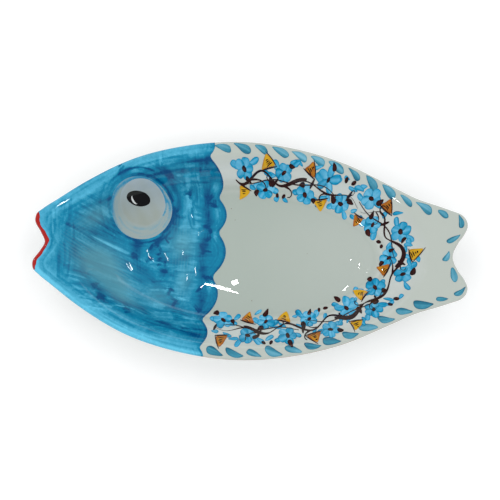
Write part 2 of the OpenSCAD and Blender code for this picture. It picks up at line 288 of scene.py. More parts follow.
# The patches of one piece of paint, gathered before it is made
def newPaint():
    return {"plan": [], "faces": [], "lift": [], "marks": {}, "count": 0}


# Adds a patch to them, that many layers up, with the marks that its points carry
def addPatch(store, plan, faces, layer=0, **marks):
    used = np.unique(faces)
    renumber = np.zeros(len(plan), int)
    renumber[used] = np.arange(len(used)) + store["count"]
    store["plan"].append(plan[used])
    store["faces"].append(renumber[faces])
    store["lift"].append(np.full(len(used), paint["film"] + paint["layer"] * layer))
    for mark, values in marks.items():
        store["marks"].setdefault(mark, []).append(np.broadcast_to(values, len(plan))[used])
    store["count"] += len(used)


# Turns patches on the plan into closed films on the inside of the dish
def paintPiece(name, store, material, slot, *nodes):
    plan, top = np.vstack(store["plan"]), np.vstack(store["faces"])
    lift = np.concatenate(store["lift"])[:, None]
    base, normal = surfacePoint(plan), surfaceNormal(plan)
    count = len(plan)
    under = top[:, ::-1] + count
    sides = np.vstack([top[:, [0, 1]], top[:, [1, 2]], top[:, [2, 0]]])
    twins = {(b, a) for a, b in map(tuple, sides)}
    rim = np.array([side for side in map(tuple, sides) if side not in twins])
    walls = np.c_[rim[:, 0], rim[:, 0] + count, rim[:, 1] + count, rim[:, 1]]
    points = np.vstack([base + normal * lift, base - normal * paint["sunk"]])
    out = np.cross(points[rim[:, 1]] - points[rim[:, 0]], normal[rim[:, 0]])
    out /= np.maximum(lengths(out), 1e-9)[:, None]
    loopNormals = np.vstack([normal[top.ravel()], -normal[under.ravel() - count], np.repeat(out, 4, 0)])
    flat = (plan - plan.min(0)) / np.ptp(plan, axis=0)
    upper, lower = (flat * size + shift for size, shift in (paint["upperChart"], paint["lowerChart"]))
    left, right, fall = lower[rim[:, 0]], lower[rim[:, 1]], [0, paint["sideChart"]]
    band = np.stack([left, left - fall, right - fall, right], 1).reshape(-1, 2)
    uv = np.vstack([upper[top.ravel()], lower[under.ravel() - count], band])
    marks = {mark: np.tile(np.concatenate(values), 2) for mark, values in store["marks"].items()}
    piece = meshPiece(name, points, list(top) + list(under) + list(walls), uv, marks, loopNormals)
    finishPiece(piece, material, slot, *nodes)


# Materials

# A colour as it is read off a screen, 0 to 255, as the linear values that the nodes want
def sRgb(red, green, blue):
    values = np.array([red, green, blue]) / 255
    return tuple(np.where(values <= 0.04045, values / 12.92, ((values + 0.055) / 1.055) ** 2.4)) + (1.0,)


# Links a socket to what another node gives, or sets its value
def feed(tree, socket, value):
    if isinstance(value, bpy.types.NodeSocket):
        tree.links.new(value, socket)
    else:
        socket.default_value = value


def addNode(tree, kind, place, **settings):
    node = tree.nodes.new("ShaderNode" + kind)
    node.location = place
    for name, value in settings.items():
        if name in node.inputs:
            feed(tree, node.inputs[name], value)
        else:
            setattr(node, name, value)
    return node


def mathNode(tree, operation, place, *values, clamp=False):
    node = addNode(tree, "Math", place, operation=operation, use_clamp=clamp)
    for socket, value in zip(node.inputs, values):
        feed(tree, socket, value)
    return node.outputs[0]


def mixColour(tree, place, share, first, second):
    node = addNode(tree, "Mix", place, data_type="RGBA")
    for socket, value in zip((node.inputs[0], node.inputs[6], node.inputs[7]), (share, first, second)):
        feed(tree, socket, value)
    return node.outputs[2]


def noise(tree, place, at, **settings):
    return addNode(tree, "TexNoise", place, Vector=at, **settings).outputs["Fac"]


# The value that the piece carries under that name
def carried(tree, place, name):
    return addNode(tree, "Attribute", place, attribute_name=name).outputs["Fac"]


def newGroup(name, inputs, outputs):
    group = bpy.data.node_groups.new(name, "ShaderNodeTree")
    for label, kind, value in inputs:
        socket = group.interface.new_socket(label, in_out="INPUT", socket_type="NodeSocket" + kind)
        if value is not None:
            socket.default_value = value
    for label, kind in outputs:
        group.interface.new_socket(label, in_out="OUTPUT", socket_type="NodeSocket" + kind)
    start = group.nodes.new("NodeGroupInput")
    end = group.nodes.new("NodeGroupOutput")
    start.location, end.location = (-1000, 0), (800, 0)
    return group, start.outputs, end.inputs


glaze = {
    "rippleScale": 42.0,
    "rippleHeight": 9.0,  # how much higher the ripple is than the orange peel
    "peelScale": 300.0,
    "holeScale": 95.0,
    "holeSize": 0.045,
    "sieveScale": 60.0,
    "sieve": 0.6,  # only where this noise is higher are there pinholes
    "bump": (0.35, 0.00001),  # strength, and height in metres
    "roughness": (0.02, 0.005),  # times the orange peel, and the least
    "holeRoughness": 0.3,
    "refraction": 1.5,
    "skin": {"Ripple": 1.0, "Peel": 0.4, "Pinholes": 1.0},
}


# The surface of a fired glaze: a slow ripple, fine orange peel and a few pinholes
def glazeSkinGroup():
    group, given, result = newGroup(
        "glazeSkin",
        [(label, "Float", value) for label, value in glaze["skin"].items()],
        [("Normal", "Vector"), ("Roughness", "Float"), ("Pinhole Mask", "Float")],
    )
    at = addNode(group, "TexCoord", (-1000, -300)).outputs["Object"]
    ripple = noise(group, (-700, 200), at, Scale=glaze["rippleScale"], Detail=1.0)
    peel = noise(group, (-700, -50), at, Scale=glaze["peelScale"], Detail=0.0)
    holes = addNode(group, "TexVoronoi", (-700, -300), Vector=at, Scale=glaze["holeScale"])
    sieve = noise(group, (-700, -550), at, Scale=glaze["sieveScale"], Detail=0.0)
    few = mathNode(group, "GREATER_THAN", (-450, -550), sieve, glaze["sieve"])
    dot = mathNode(group, "LESS_THAN", (-450, -300), holes.outputs["Distance"], glaze["holeSize"])
    pit = mathNode(group, "MULTIPLY", (-250, -400), few, dot)
    pit = mathNode(group, "MULTIPLY", (-100, -400), pit, given["Pinholes"])
    slow = mathNode(group, "MULTIPLY", (-250, 200), ripple, given["Ripple"])
    fine = mathNode(group, "MULTIPLY", (-250, 0), peel, given["Peel"])
    height = mathNode(group, "MULTIPLY_ADD", (0, 150), slow, glaze["rippleHeight"], fine)
    height = mathNode(group, "SUBTRACT", (150, 100), height, pit)
    strength, distance = glaze["bump"]
    bump = addNode(group, "Bump", (350, 150), Strength=strength, Distance=distance, Height=height)
    rough = mathNode(group, "MULTIPLY_ADD", (350, -100), peel, *glaze["roughness"])
    rough = mathNode(group, "MULTIPLY_ADD", (500, -100), pit, glaze["holeRoughness"], rough)
    group.links.new(bump.outputs["Normal"], result["Normal"])
    group.links.new(rough, result["Roughness"])
    group.links.new(pit, result["Pinhole Mask"])
    return group


brushwork = {
    "blotScale": 260.0,
    "grainScale": 1500.0,
    "grainShare": 0.4,
    "evenLevel": 0.7,  # what blot and grain come to on the whole
    # the colour of a painted sheen of reflected light, and how much of it shows
    "milk": sRgb(98, 162, 178),
    "milkShare": 0.75,
}


# The colour of a touch of paint under the glaze, from how much pigment lies there, with a painted sheen of
# reflected light over it where the piece carries one
def brushColourGroup():
    group, given, result = newGroup(
        "brushColour",
        [("Pigment", "Float", 0.5), ("Milk", "Float", 0.0), ("Mottle", "Float", 0.2),
         ("Thin", "Color", None), ("Middle", "Color", None), ("Deep", "Color", None),
         ("Milky", "Color", brushwork["milk"])],
        [("Color", "Color")],
    )
    at = addNode(group, "TexCoord", (-1000, -300)).outputs["Object"]
    blot = noise(group, (-750, -200), at, Scale=brushwork["blotScale"], Detail=3.0, Roughness=0.6)
    grain = noise(group, (-750, -450), at, Scale=brushwork["grainScale"], Detail=2.0)
    both = mathNode(group, "MULTIPLY_ADD", (-500, -300), grain, brushwork["grainShare"], blot)
    both = mathNode(group, "SUBTRACT", (-350, -300), both, brushwork["evenLevel"])
    both = mathNode(group, "MULTIPLY", (-200, -300), both, given["Mottle"])
    load = mathNode(group, "ADD", (-50, -100), both, given["Pigment"])
    lower = mathNode(group, "MULTIPLY", (100, 0), load, 2.0, clamp=True)
    upper = mathNode(group, "MULTIPLY_ADD", (100, -200), load, 2.0, -1.0, clamp=True)
    half = mixColour(group, (300, 100), lower, given["Thin"], given["Middle"])
    full = mixColour(group, (450, 0), upper, half, given["Deep"])
    # painted sheen: a pale haze of reflected light mixed over the paint
    share = mathNode(group, "MULTIPLY", (300, 300), given["Milk"], brushwork["milkShare"])
    group.links.new(mixColour(group, (620, 100), share, full, given["Milky"]), result["Color"])
    return group


glazeSkin = glazeSkinGroup()
brushColour = brushColourGroup()


def placeGroup(tree, group, place, **values):
    node = addNode(tree, "Group", place)
    node.node_tree = group
    for name, value in values.items():
        feed(tree, node.inputs[name], value)
    return node


def newMaterial(name):
    material = bpy.data.materials.new(name)
    material.use_nodes = True
    tree = material.node_tree
    shader = tree.nodes["Principled BSDF"]
    shader.location = (600, 0)
    return material, tree, shader


# A new material with a glazed Principled shader, and where it has pinholes
def glazed(name):
    material, tree, shader = newMaterial(name)
    shader.inputs["IOR"].default_value = glaze["refraction"]
    skin = placeGroup(tree, glazeSkin, (250, -300), **glaze["skin"])
    tree.links.new(skin.outputs["Normal"], shader.inputs["Normal"])
    tree.links.new(skin.outputs["Roughness"], shader.inputs["Roughness"])
    return material, tree, shader, skin.outputs["Pinhole Mask"]


# A paint under the glaze, whose colour follows the pigment and the painted sheen that its piece carries
def brushed(name, thin, middle, deep, mottle):
    material, tree, shader = glazed(name)[:3]
    colour = placeGroup(
        tree, brushColour, (0, 100), Pigment=carried(tree, (-300, 100), "pigment"),
        Milk=carried(tree, (-300, -100), "milk"), Thin=sRgb(*thin), Middle=sRgb(*middle), Deep=sRgb(*deep),
        Mottle=mottle)
    tree.links.new(colour.outputs["Color"], shader.inputs["Base Color"])
    return material


white = {
    "thin": sRgb(190, 198, 191),
    # the glaze where it pools and where shade is painted, and where painted light lies on the wall
    "pooledAndShaded": sRgb(176, 187, 179),
    "drainedAndLit": sRgb(216, 222, 218),
    "bareEdge": sRgb(176, 140, 120),
    "speck": sRgb(120, 100, 84),
    "cloudScale": 16.0,
    "cloud": (0.4, -0.2),  # how much the clouds add to the level of pooled and shaded glaze, times and plus
    "crumbleScale": 190.0,
    "wear": (3.0, -0.55),  # how much of the worn edge is bare, times and plus
    "barest": 0.8,
}


def whiteGlaze():
    material, tree, shader, pinholes = glazed("whiteGlaze")
    at = addNode(tree, "TexCoord", (-900, 0)).outputs["Object"]
    cloud = noise(tree, (-700, 200), at, Scale=white["cloudScale"], Detail=3.0)
    crumble = noise(tree, (-700, -50), at, Scale=white["crumbleScale"], Detail=4.0)
    level = mathNode(tree, "MULTIPLY_ADD", (-450, 300), cloud, *white["cloud"])
    # pooled glaze and painted shade make it darker; below nought, painted light makes the wall lighter
    level = mathNode(tree, "ADD", (-300, 350), level, carried(tree, (-700, 450), "pooledAndShaded"))
    share = mathNode(tree, "MAXIMUM", (-100, 350), level, 0.0, clamp=True)
    base = mixColour(tree, (0, 300), share, white["thin"], white["pooledAndShaded"])
    share = mathNode(tree, "MULTIPLY", (-100, 550), level, -1.0, clamp=True)
    base = mixColour(tree, (100, 300), share, base, white["drainedAndLit"])
    bare = mathNode(tree, "MULTIPLY", (-450, -100), crumble, carried(tree, (-700, -300), "lipEdge"))
    bare = mathNode(tree, "MULTIPLY_ADD", (-300, -100), bare, *white["wear"], clamp=True)
    bare = mathNode(tree, "MINIMUM", (-100, -100), bare, white["barest"])
    base = mixColour(tree, (200, 200), bare, base, white["bareEdge"])
    base = mixColour(tree, (350, 150), pinholes, base, white["speck"])
    tree.links.new(base, shader.inputs["Base Color"])
    return material


clay = {
    "light": sRgb(204, 150, 118),
    "dark": sRgb(168, 108, 80),
    "glaze": sRgb(198, 203, 200),
    "cloudScale": 90.0,
    "gritScale": 1400.0,
    "grit": (0.5, 0.75),  # the height of the grit, times and plus
    "gritBump": (0.5, 0.00015),  # strength, and height in metres
    "runScale": 70.0,
    "run": (1.6, -0.8),  # how raggedly the glaze ends on the foot, times and plus
    "glazeLine": 0.62,
    "roughness": 0.88,
    "glossier": -0.6,  # where glaze covers it
}


def bareClay():
    material, tree, shader = newMaterial("bareClay")
    at = addNode(tree, "TexCoord", (-900, 0)).outputs["Object"]
    cloud = noise(tree, (-700, 200), at, Scale=clay["cloudScale"], Detail=5.0)
    grit = noise(tree, (-700, -50), at, Scale=clay["gritScale"], Detail=3.0)
    run = noise(tree, (-700, -300), at, Scale=clay["runScale"], Detail=3.0)
    base = mixColour(tree, (-300, 200), cloud, clay["dark"], clay["light"])
    grain = mathNode(tree, "MULTIPLY_ADD", (-450, -50), grit, *clay["grit"])
    ragged = mathNode(tree, "MULTIPLY_ADD", (-450, -300), run, *clay["run"])
    cover = mathNode(tree, "ADD", (-300, -300), ragged, carried(tree, (-700, 450), "upFoot"))
    cover = mathNode(tree, "GREATER_THAN", (-150, -300), cover, clay["glazeLine"])
    base = mixColour(tree, (100, 150), cover, base, clay["glaze"])
    rough = mathNode(tree, "MULTIPLY_ADD", (100, -150), cover, clay["glossier"], clay["roughness"])
    strength, distance = clay["gritBump"]
    bump = addNode(tree, "Bump", (350, -200), Strength=strength, Distance=distance, Height=grain)
    tree.links.new(base, shader.inputs["Base Color"])
    tree.links.new(rough, shader.inputs["Roughness"])
    tree.links.new(bump.outputs["Normal"], shader.inputs["Normal"])
    return material


# Each paint where it lies thin, middling and deep, and how mottled it is
paints = {
    "headWash": ((104, 204, 238), (20, 136, 174), (0, 74, 126), 0.35),
    "bluePaint": ((118, 200, 236), (22, 156, 202), (0, 92, 132), 0.3),
    "borderPaint": ((120, 184, 208), (62, 142, 168), (18, 88, 116), 0.3),
    "redPaint": ((202, 66, 56), (176, 38, 34), (134, 22, 24), 0.3),
    "eyeRingWash": ((166, 176, 170), (122, 166, 184), (56, 144, 184), 0.15),
    "eyeWhitePaint": ((168, 184, 192), (158, 168, 161), (132, 152, 154), 0.12),
    "eyeGlintPaint": ((226, 230, 228), (212, 218, 216), (180, 190, 190), 0.1),
    "blackPaint": ((14, 18, 24), (4, 6, 9), (2, 3, 4), 0.2),
    "brownPaint": ((92, 36, 30), (46, 13, 12), (24, 6, 7), 0.3),
    "ochrePaint": ((216, 168, 34), (182, 108, 32), (138, 66, 20), 0.35),
}

materials = {name: brushed(name, *tones) for name, tones in paints.items()}
materials["whiteGlaze"] = whiteGlaze()
materials["bareClay"] = bareClay()
print("materials made")


# The dish

dish = {
    "floorStep": 5.0,
    "wallRings": 30,
    "flangeRings": 9,
    "lipRings": 16,
    "insideChart": ((0.98, 0.48), (0.01, 0.51)),  # size and place in the texture square
    "outsideChart": ((0.98, 0.48), (0.01, 0.01)),
    "poolDepth": 0.35,  # how far up the wall the glaze pools, as a share of the well's depth
    "paintedTailLight": (-10, 130, 0.85),  # painted light: from this x on, over this length, the pool gets this much fainter, so the floor is lighter towards the tail
    "outsidePool": 0.4,
    # rings that the glaze left on the wall: how deep, as a share, and how much it pools there
    "poolRings": [(0.006, 0.3), (0.045, -0.4), (0.1, 0.3), (0.17, -0.2)],
    "lipWear": 0.13,  # how wide the worn crest of the lip is, as a share of its turn
}


# A ring moved off the clay, in the upright plane along each ray
def liftedRing(place, height, along, tilt, lift):
    return np.c_[place - along * (np.sin(tilt) * lift)[:, None], height + np.cos(tilt) * lift]


# Rings from the floor out to the lip and back underneath, each with its unrolled plan
def dishRings():
    foot, edge = rayTo(rimAngles, floorSize), rayTo(rimAngles, wellSize)
    run = lengths(edge - foot)
    along = (edge - foot) / run[:, None]
    outward = (edge - wellMiddle) / lengths(edge - wellMiddle)[:, None]
    straight, flat = flangeRun(rimAngles), np.full(len(outline), slope)

    def wallRing(t, lift):
        s, kick = t ** platter["wallSweep"], math.tan(slope) * run / platter["wallSweep"]
        climb = 6 * platter["wellDepth"] * (s - s**2) + kick * (3 * s**2 - 2 * s)
        speed = platter["wallSweep"] * t ** (platter["wallSweep"] - 1)
        place = foot + (edge - foot) * t
        return liftedRing(place, wallHeight(t, run), along, np.arctan2(climb * speed, run), lift), place

    def flangeRing(t, lift):
        place = edge + outward * (straight * t)[:, None]
        return liftedRing(place, edgeZ + straight * t * math.tan(slope), outward, flat, lift), place

    def lipRing(turn):
        top = edge + outward * straight[:, None]
        middle = liftedRing(top, edgeZ + straight * math.tan(slope), outward, flat, -lipRadius)
        ring = liftedRing(middle[:, :2], middle[:, 2], outward, flat - turn, lipRadius)
        return ring, edge + outward * (straight + lipRadius * turn)[:, None]

    wall = np.linspace(0, 1, dish["wallRings"] + 1)
    flange = np.linspace(0, 1, dish["flangeRings"] + 1)
    lip = np.linspace(0, math.pi, dish["lipRings"] + 1)
    rings = [wallRing(t, 0) for t in wall] + [flangeRing(t, 0) for t in flange[1:]]
    rings += [lipRing(turn) for turn in lip[1:-1]]
    rings += [flangeRing(t, -platter["clay"]) for t in flange[:0:-1]]
    rings += [wallRing(t, -platter["clay"]) for t in wall[::-1]]
    return rings


# The glaze pools on the floor, less so towards the tail, and in rings on the wall. Painted light and shade
# as well: the floor is lighter towards the tail, and the wall is painted lighter half way up, against its
# shade
def glazePoolAndLight(points, inside):
    depth = (points[:, 2] - floorZ) / platter["wellDepth"]
    start, run, less = dish["paintedTailLight"]
    full = 1 - less * np.clip((points[:, 0] - start) / run, 0, 1)
    pooledAndShaded = np.where(inside, full * (1 - np.clip(depth / dish["poolDepth"], 0, 1)), dish["outsidePool"])
    # painted light: the wall is lighter half way up, to make up for the shade that falls there
    pooledAndShaded = pooledAndShaded - inside * np.sin(math.pi * np.clip(depth, 0, 1)) ** 0.8
    for ring, share in dish["poolRings"]:
        pooledAndShaded = pooledAndShaded + share * np.exp(-((depth - ring) / (0.2 * ring + 0.003)) ** 2) * inside
    return pooledAndShaded


def makeDish():
    rings = dishRings()
    around, ringPoints = len(outline), len(outline) * len(rings)
    points = np.vstack([ring for ring, plan in rings])
    unrolled = np.vstack([plan for ring, plan in rings])
    k, i = np.meshgrid(np.arange(len(rings) - 1), np.arange(around), indexing="ij")
    a, b = (k * around + i).ravel(), (k * around + (i + 1) % around).ravel()
    quads = np.c_[a, b, b + around, a + around]
    topRings = dish["wallRings"] + dish["flangeRings"] + dish["lipRings"] * 5 // 8
    faces, order = list(quads), list(quads.ravel())
    onTop = list(np.repeat(k.ravel() < topRings, 4))
    # the floor inside and the flat underside close the rings
    for ring, up in ((0, True), (len(rings) - 1, False)):
        rim = points[ring * around:(ring + 1) * around, :2]
        plan, triangles = triangulated([rim], dish["floorStep"])
        gaps = lengths(plan[:, None, :] - rim[None, :, :])
        nearest, new = gaps.argmin(1), gaps.min(1) >= 1e-4
        place = ring * around + nearest
        place[new] = len(points) + np.arange(new.sum())
        height = floorZ if up else platter["footHeight"]
        points = np.vstack([points, np.c_[plan[new], np.full(new.sum(), height)]])
        unrolled = np.vstack([unrolled, plan[new]])
        triangles = place[triangles] if up else place[triangles][:, ::-1]
        faces += list(triangles)
        order += list(triangles.ravel())
        onTop += [up] * triangles.size
    points, order = waved(points), np.array(order)
    flat = ((unrolled - unrolled.min(0)) / np.ptp(unrolled, axis=0))[order]
    charts = [flat * size + shift for size, shift in (dish["insideChart"], dish["outsideChart"])]
    uv = np.where(np.array(onTop)[:, None], *charts)
    inside = np.arange(len(points)) < around * topRings
    inside[ringPoints:] = points[ringPoints:, 2] > platter["footHeight"] + 1
    ringOf = np.minimum(np.arange(len(points)) // around, len(rings) - 1)
    fromCrest = (ringOf - dish["wallRings"] - dish["flangeRings"]) / dish["lipRings"] - 0.5
    worn = np.exp(-((fromCrest / dish["lipWear"]) ** 2))
    worn[ringPoints:] = 0
    marks = {"pooledAndShaded": glazePoolAndLight(points, inside), "lipEdge": worn}
    finishPiece(meshPiece("dish_body", points, faces, uv, marks), "whiteGlaze", "white_glaze", "dish")


makeDish()


# The foot ring

footRing = {
    "round": 1.1,
    "roundSteps": 5,
    "sides": 220,
    "intoDish": 0.05,
    "faceShares": (0.35, 0.5, 0.65),  # where the standing face and the hidden top have points between
    "topShares": (1, 0.6, 0.3),
}


def makeFootRing():
    outer = floorSize - platter["footInset"]
    wide, bend = platter["footFace"], footRing["round"]
    high = platter["footHeight"] + footRing["intoDish"]
    turns = np.linspace(0, math.pi / 2, footRing["roundSteps"] + 1)
    # the profile goes down the outer side, over the standing face and up the inner side
    profile = [(0, high), (0, (high + bend) / 2)]
    profile += [(bend - bend * math.cos(t), bend - bend * math.sin(t)) for t in turns]
    profile += [(wide * share, 0) for share in footRing["faceShares"]]
    profile += [(wide - bend + bend * math.sin(t), bend - bend * math.cos(t)) for t in turns]
    profile += [(wide, (high + bend) / 2)] + [(wide * share, high) for share in footRing["topShares"]]
    angle = np.linspace(0, 2 * math.pi, footRing["sides"], endpoint=False)
    points = np.vstack([np.c_[rayTo(angle, outer - inset), np.full(len(angle), z)] for inset, z in profile])
    count, around = len(profile), len(angle)
    k, i = np.meshgrid(np.arange(count), np.arange(around), indexing="ij")
    over, on = (k + 1) % count * around, (i + 1) % around
    faces = np.stack([k * around + i, over + i, over + on, k * around + on], -1).reshape(-1, 4)
    u = np.stack([i, i, i + 1, i + 1], -1).reshape(-1) / around
    v = np.stack([k, k + 1, k + 1, k], -1).reshape(-1) / count
    uv = np.c_[u, v] * 0.98 + 0.01
    piece = meshPiece("foot_clay", points, faces, uv, {"upFoot": points[:, 2] / high})
    finishPiece(piece, "bareClay", "bare_clay", "foot_ring")


makeFootRing()


# The brush

brush = {
    "canvasStep": 0.5,
    "bristleGap": 0.7,
    "swells": 6,  # how often the load rises and falls along a stroke
    "edge": 0.2,  # the soft edge of a stroke, as a share of half its width
    "pool": (0.14, 0.12),  # how far in the pigment pools, and over how wide a line
}


def newCanvas(low, high):
    size = np.ceil((np.array(high) - low) / brush["canvasStep"]).astype(int) + 1
    return {"low": np.array(low, float), "field": np.zeros(size)}


# Lays pigment along a path: pooled at the sides, streaked by the bristles and dry towards the end
def brushStroke(canvas, path, width, load, rng, bristle=0.35, dry=0.4, pool=0.5):
    path, step, field = np.asarray(path, float), brush["canvasStep"], canvas["field"]
    streaks = rng.uniform(1 - bristle, 1 + bristle, 3 + int(width / brush["bristleGap"]))
    swell = rng.uniform(0.8, 1.2, brush["swells"])
    first = np.maximum(((path.min(0) - width / 2 - canvas["low"]) / step).astype(int), 0)
    last = np.minimum(((path.max(0) + width / 2 - canvas["low"]) / step).astype(int) + 2, field.shape)
    if (last <= first).any():
        return
    i, j = np.meshgrid(np.arange(first[0], last[0]), np.arange(first[1], last[1]), indexing="ij")
    at = np.stack([i, j], -1).reshape(-1, 2) * step + canvas["low"]
    best, walked, side = np.full(len(at), 1e9), np.zeros(len(at)), np.zeros(len(at))
    walk = 0
    for a, b in zip(path[:-1], path[1:]):
        way = b - a
        span = max(lengths(way), 1e-6)
        t = np.clip((at - a) @ way / span**2, 0, 1)
        off = at - a - t[:, None] * way
        gap = lengths(off)
        closer = gap < best
        best[closer], walked[closer] = gap[closer], (walk + t * span)[closer]
        side[closer] = np.sign(way[0] * off[:, 1] - way[1] * off[:, 0])[closer]
        walk += span
    share, across = walked / walk, side * best / (width / 2)
    inward = np.clip(1 - np.abs(across), 0, 1)
    body = np.clip(inward / brush["edge"], 0, 1)
    body *= np.clip((share + 0.04) / 0.08, 0, 1) * np.clip((1.03 - share) / 0.15, 0, 1)
    body *= np.interp(across, np.linspace(-1, 1, len(streaks)), streaks)
    body *= np.interp(share, np.linspace(0, 1, len(swell)), swell) * (1 - dry * share)
    poolPlace, poolWidth = brush["pool"]
    edge = pool * np.exp(-((inward - poolPlace) / poolWidth) ** 2)
    field[first[0]:last[0], first[1]:last[1]] += (load * (body + edge * (body > 0))).reshape(i.shape)


# A stroke whose width and load lie anywhere between what its kind gives
def freeStroke(canvas, path, kind, rng, press=1):
    width = kind.get("wide", 1) * rng.uniform(*kind["width"])
    brushStroke(canvas, path, width, rng.uniform(*kind["load"]) * press, rng, *kind["bristles"])


# The places on the plan of the cells of a canvas
def canvasPlaces(canvas):
    i, j = np.indices(canvas["field"].shape)
    return canvas["low"][0] + i * brush["canvasStep"], canvas["low"][1] + j * brush["canvasStep"]


def curvedPath(*points, steps=9):
    a, b, c = (np.array(p, float) for p in points)
    t = np.linspace(0, 1, steps)[:, None]
    return a * (1 - t) ** 2 + b * 2 * t * (1 - t) + c * t**2


def pigmentAt(canvas, plan):
    field = canvas["field"]
    at = np.clip((plan - canvas["low"]) / brush["canvasStep"], 0, np.array(field.shape) - 1.001)
    i, j = at.astype(int).T
    u, v = (at - at.astype(int)).T
    load = (field[i, j] * (1 - u) * (1 - v) + field[i + 1, j] * u * (1 - v)
            + field[i, j + 1] * (1 - u) * v + field[i + 1, j + 1] * u * v)
    return np.clip(load, 0, 1)


# Points of a circle of one millimetre
def roundAbout(turn):
    return np.c_[np.cos(turn), np.sin(turn)]


def turned(points, angle):
    c, s = math.cos(angle), math.sin(angle)
    return points @ np.array([[c, s], [-s, c]])


# The head

head = {
    "seed": 11,
    "gillShares": [(-0.21, 1.05), (-0.21, 0.85), (-0.163, 0.53), (-0.159, 0.2), (-0.18, -0.215),
                   (-0.22, -0.62), (-0.218, -0.9), (-0.215, -1.05)],
    "scallopRise": 0.25,
    "lipBand": 4.5,
    "lipReach": 0.27,
    "mouthShare": 0.9,  # the mouth lies further out than this share of half the length
    "washTurn": 84,  # how far over the lip the wash goes, in degrees from its top
    "lipTurn": 90,
    "washStep": 0.95,
    "lipStep": 0.9,
}
eye = {
    "seed": 5,
    "ringShares": (-0.523, 0.38),
    "ringSize": (61, 59),
    "whiteShares": (0.1, 0.8),  # where the white lies in the room that the ring leaves it
    "whiteSize": (45, 44),
    "pupilShares": (-0.39, 0.29),
    "pupilSize": (23, 14),
    "glintPlace": (-3.6, -1.2),
    "glintSize": (4.2, 3.4, 1.5),  # half the length, and how far out and in the crescent bows
    "glintTurn": 125,
    "step": 1.0,
    "pupilStep": 0.8,
    # the strokes round the ring and round the white: how many, how long in radians, and how wide
    "ringStrokes": (44, (0.5, 1.6), (1.2, 3.2)),
    "ringLoads": ((0.1, 0.4), (0.02, 0.2)),  # in its upper part and in its lower
    "ringInsets": ((-0.5, 4.5), (0, 11)),
    "ringLevel": 0.1,
    "whiteStrokes": (10, (0.5, 1.2), 1.8),
    "whiteLoads": (0.25, 0.6),
}

gill = np.array(head["gillShares"]) * halfSize
ringMiddle = np.array(eye["ringShares"]) * halfSize
ringSize, whiteSize, pupilSize = (np.array(eye[name]) for name in ("ringSize", "whiteSize", "pupilSize"))
whiteMiddle = ringMiddle + (ringSize - whiteSize) / 2 * eye["whiteShares"]
pupilMiddle = whiteMiddle + (whiteSize - pupilSize) / 2 * eye["pupilShares"]


def scallop(a, b, steps=24):
    t = np.arange(steps)[:, None] / steps
    rise = lengths(b - a) * head["scallopRise"] * 4 * t * (1 - t)
    return a + (b - a) * t + rise * [1, 0]


gillLine = np.vstack([scallop(a, b) for a, b in zip(gill[:-1], gill[1:])] + [gill[-1:]])


# A round spot, a little uneven as the brush leaves it
def handOval(middle, size, uneven, seed, steps=96):
    turn = np.linspace(0, 2 * math.pi, steps, endpoint=False)
    rough = sum(np.sin(turn * k + seed * (k + 1.7)) / k for k in (2, 3, 5, 8))
    return middle + roundAbout(turn) * (np.array(size) / 2 + uneven * rough[:, None])


def washOutline():
    rim = unrolledRim(head["washTurn"])
    onHead = np.where(rim[:, 1] > 0, rim[:, 0] < gill[0][0], rim[:, 0] < gill[-1][0])
    order = np.roll(np.arange(len(rim)), -int(np.argmax(~onHead)))
    soft = np.array([gillLine[max(k - 2, 0):k + 3].mean(0) for k in range(len(gillLine))])
    inner = soft[insideLoop(soft, rim)]
    return evenLoop(np.vstack([inner, rim[order][onHead[order]]]), head["washStep"] * 0.9)


def lipOutline():
    reach = halfSize[1] * head["lipReach"]
    front = outline[:, 0] < -halfSize[0] * head["mouthShare"]
    mouth = np.where(front & (np.abs(outline[:, 1]) < reach))[0]
    mouth = mouth[np.argsort(outline[mouth, 1])]
    up = outline[mouth, 1]
    taper = np.clip((1 - np.abs(up) / reach) * 5, 0, 1) ** 0.5
    uneven = 1 + 0.1 * np.sin(up / 3.1) + 0.06 * np.sin(up / 1.3)
    inner = outline[mouth] + np.c_[head["lipBand"] * taper * uneven, np.zeros(len(mouth))]
    return evenLoop(np.vstack([inner, unrolledRim(head["lipTurn"])[mouth][::-1]]), head["lipStep"])


washLoop, lipLoop = washOutline(), lipOutline()
ringLoop = handOval(ringMiddle, ringSize, 0.45, 3)
whiteLoop = handOval(whiteMiddle, whiteSize, 0.35, 5)
pupilLoop = handOval(pupilMiddle, pupilSize, 0.3, 9, 60)

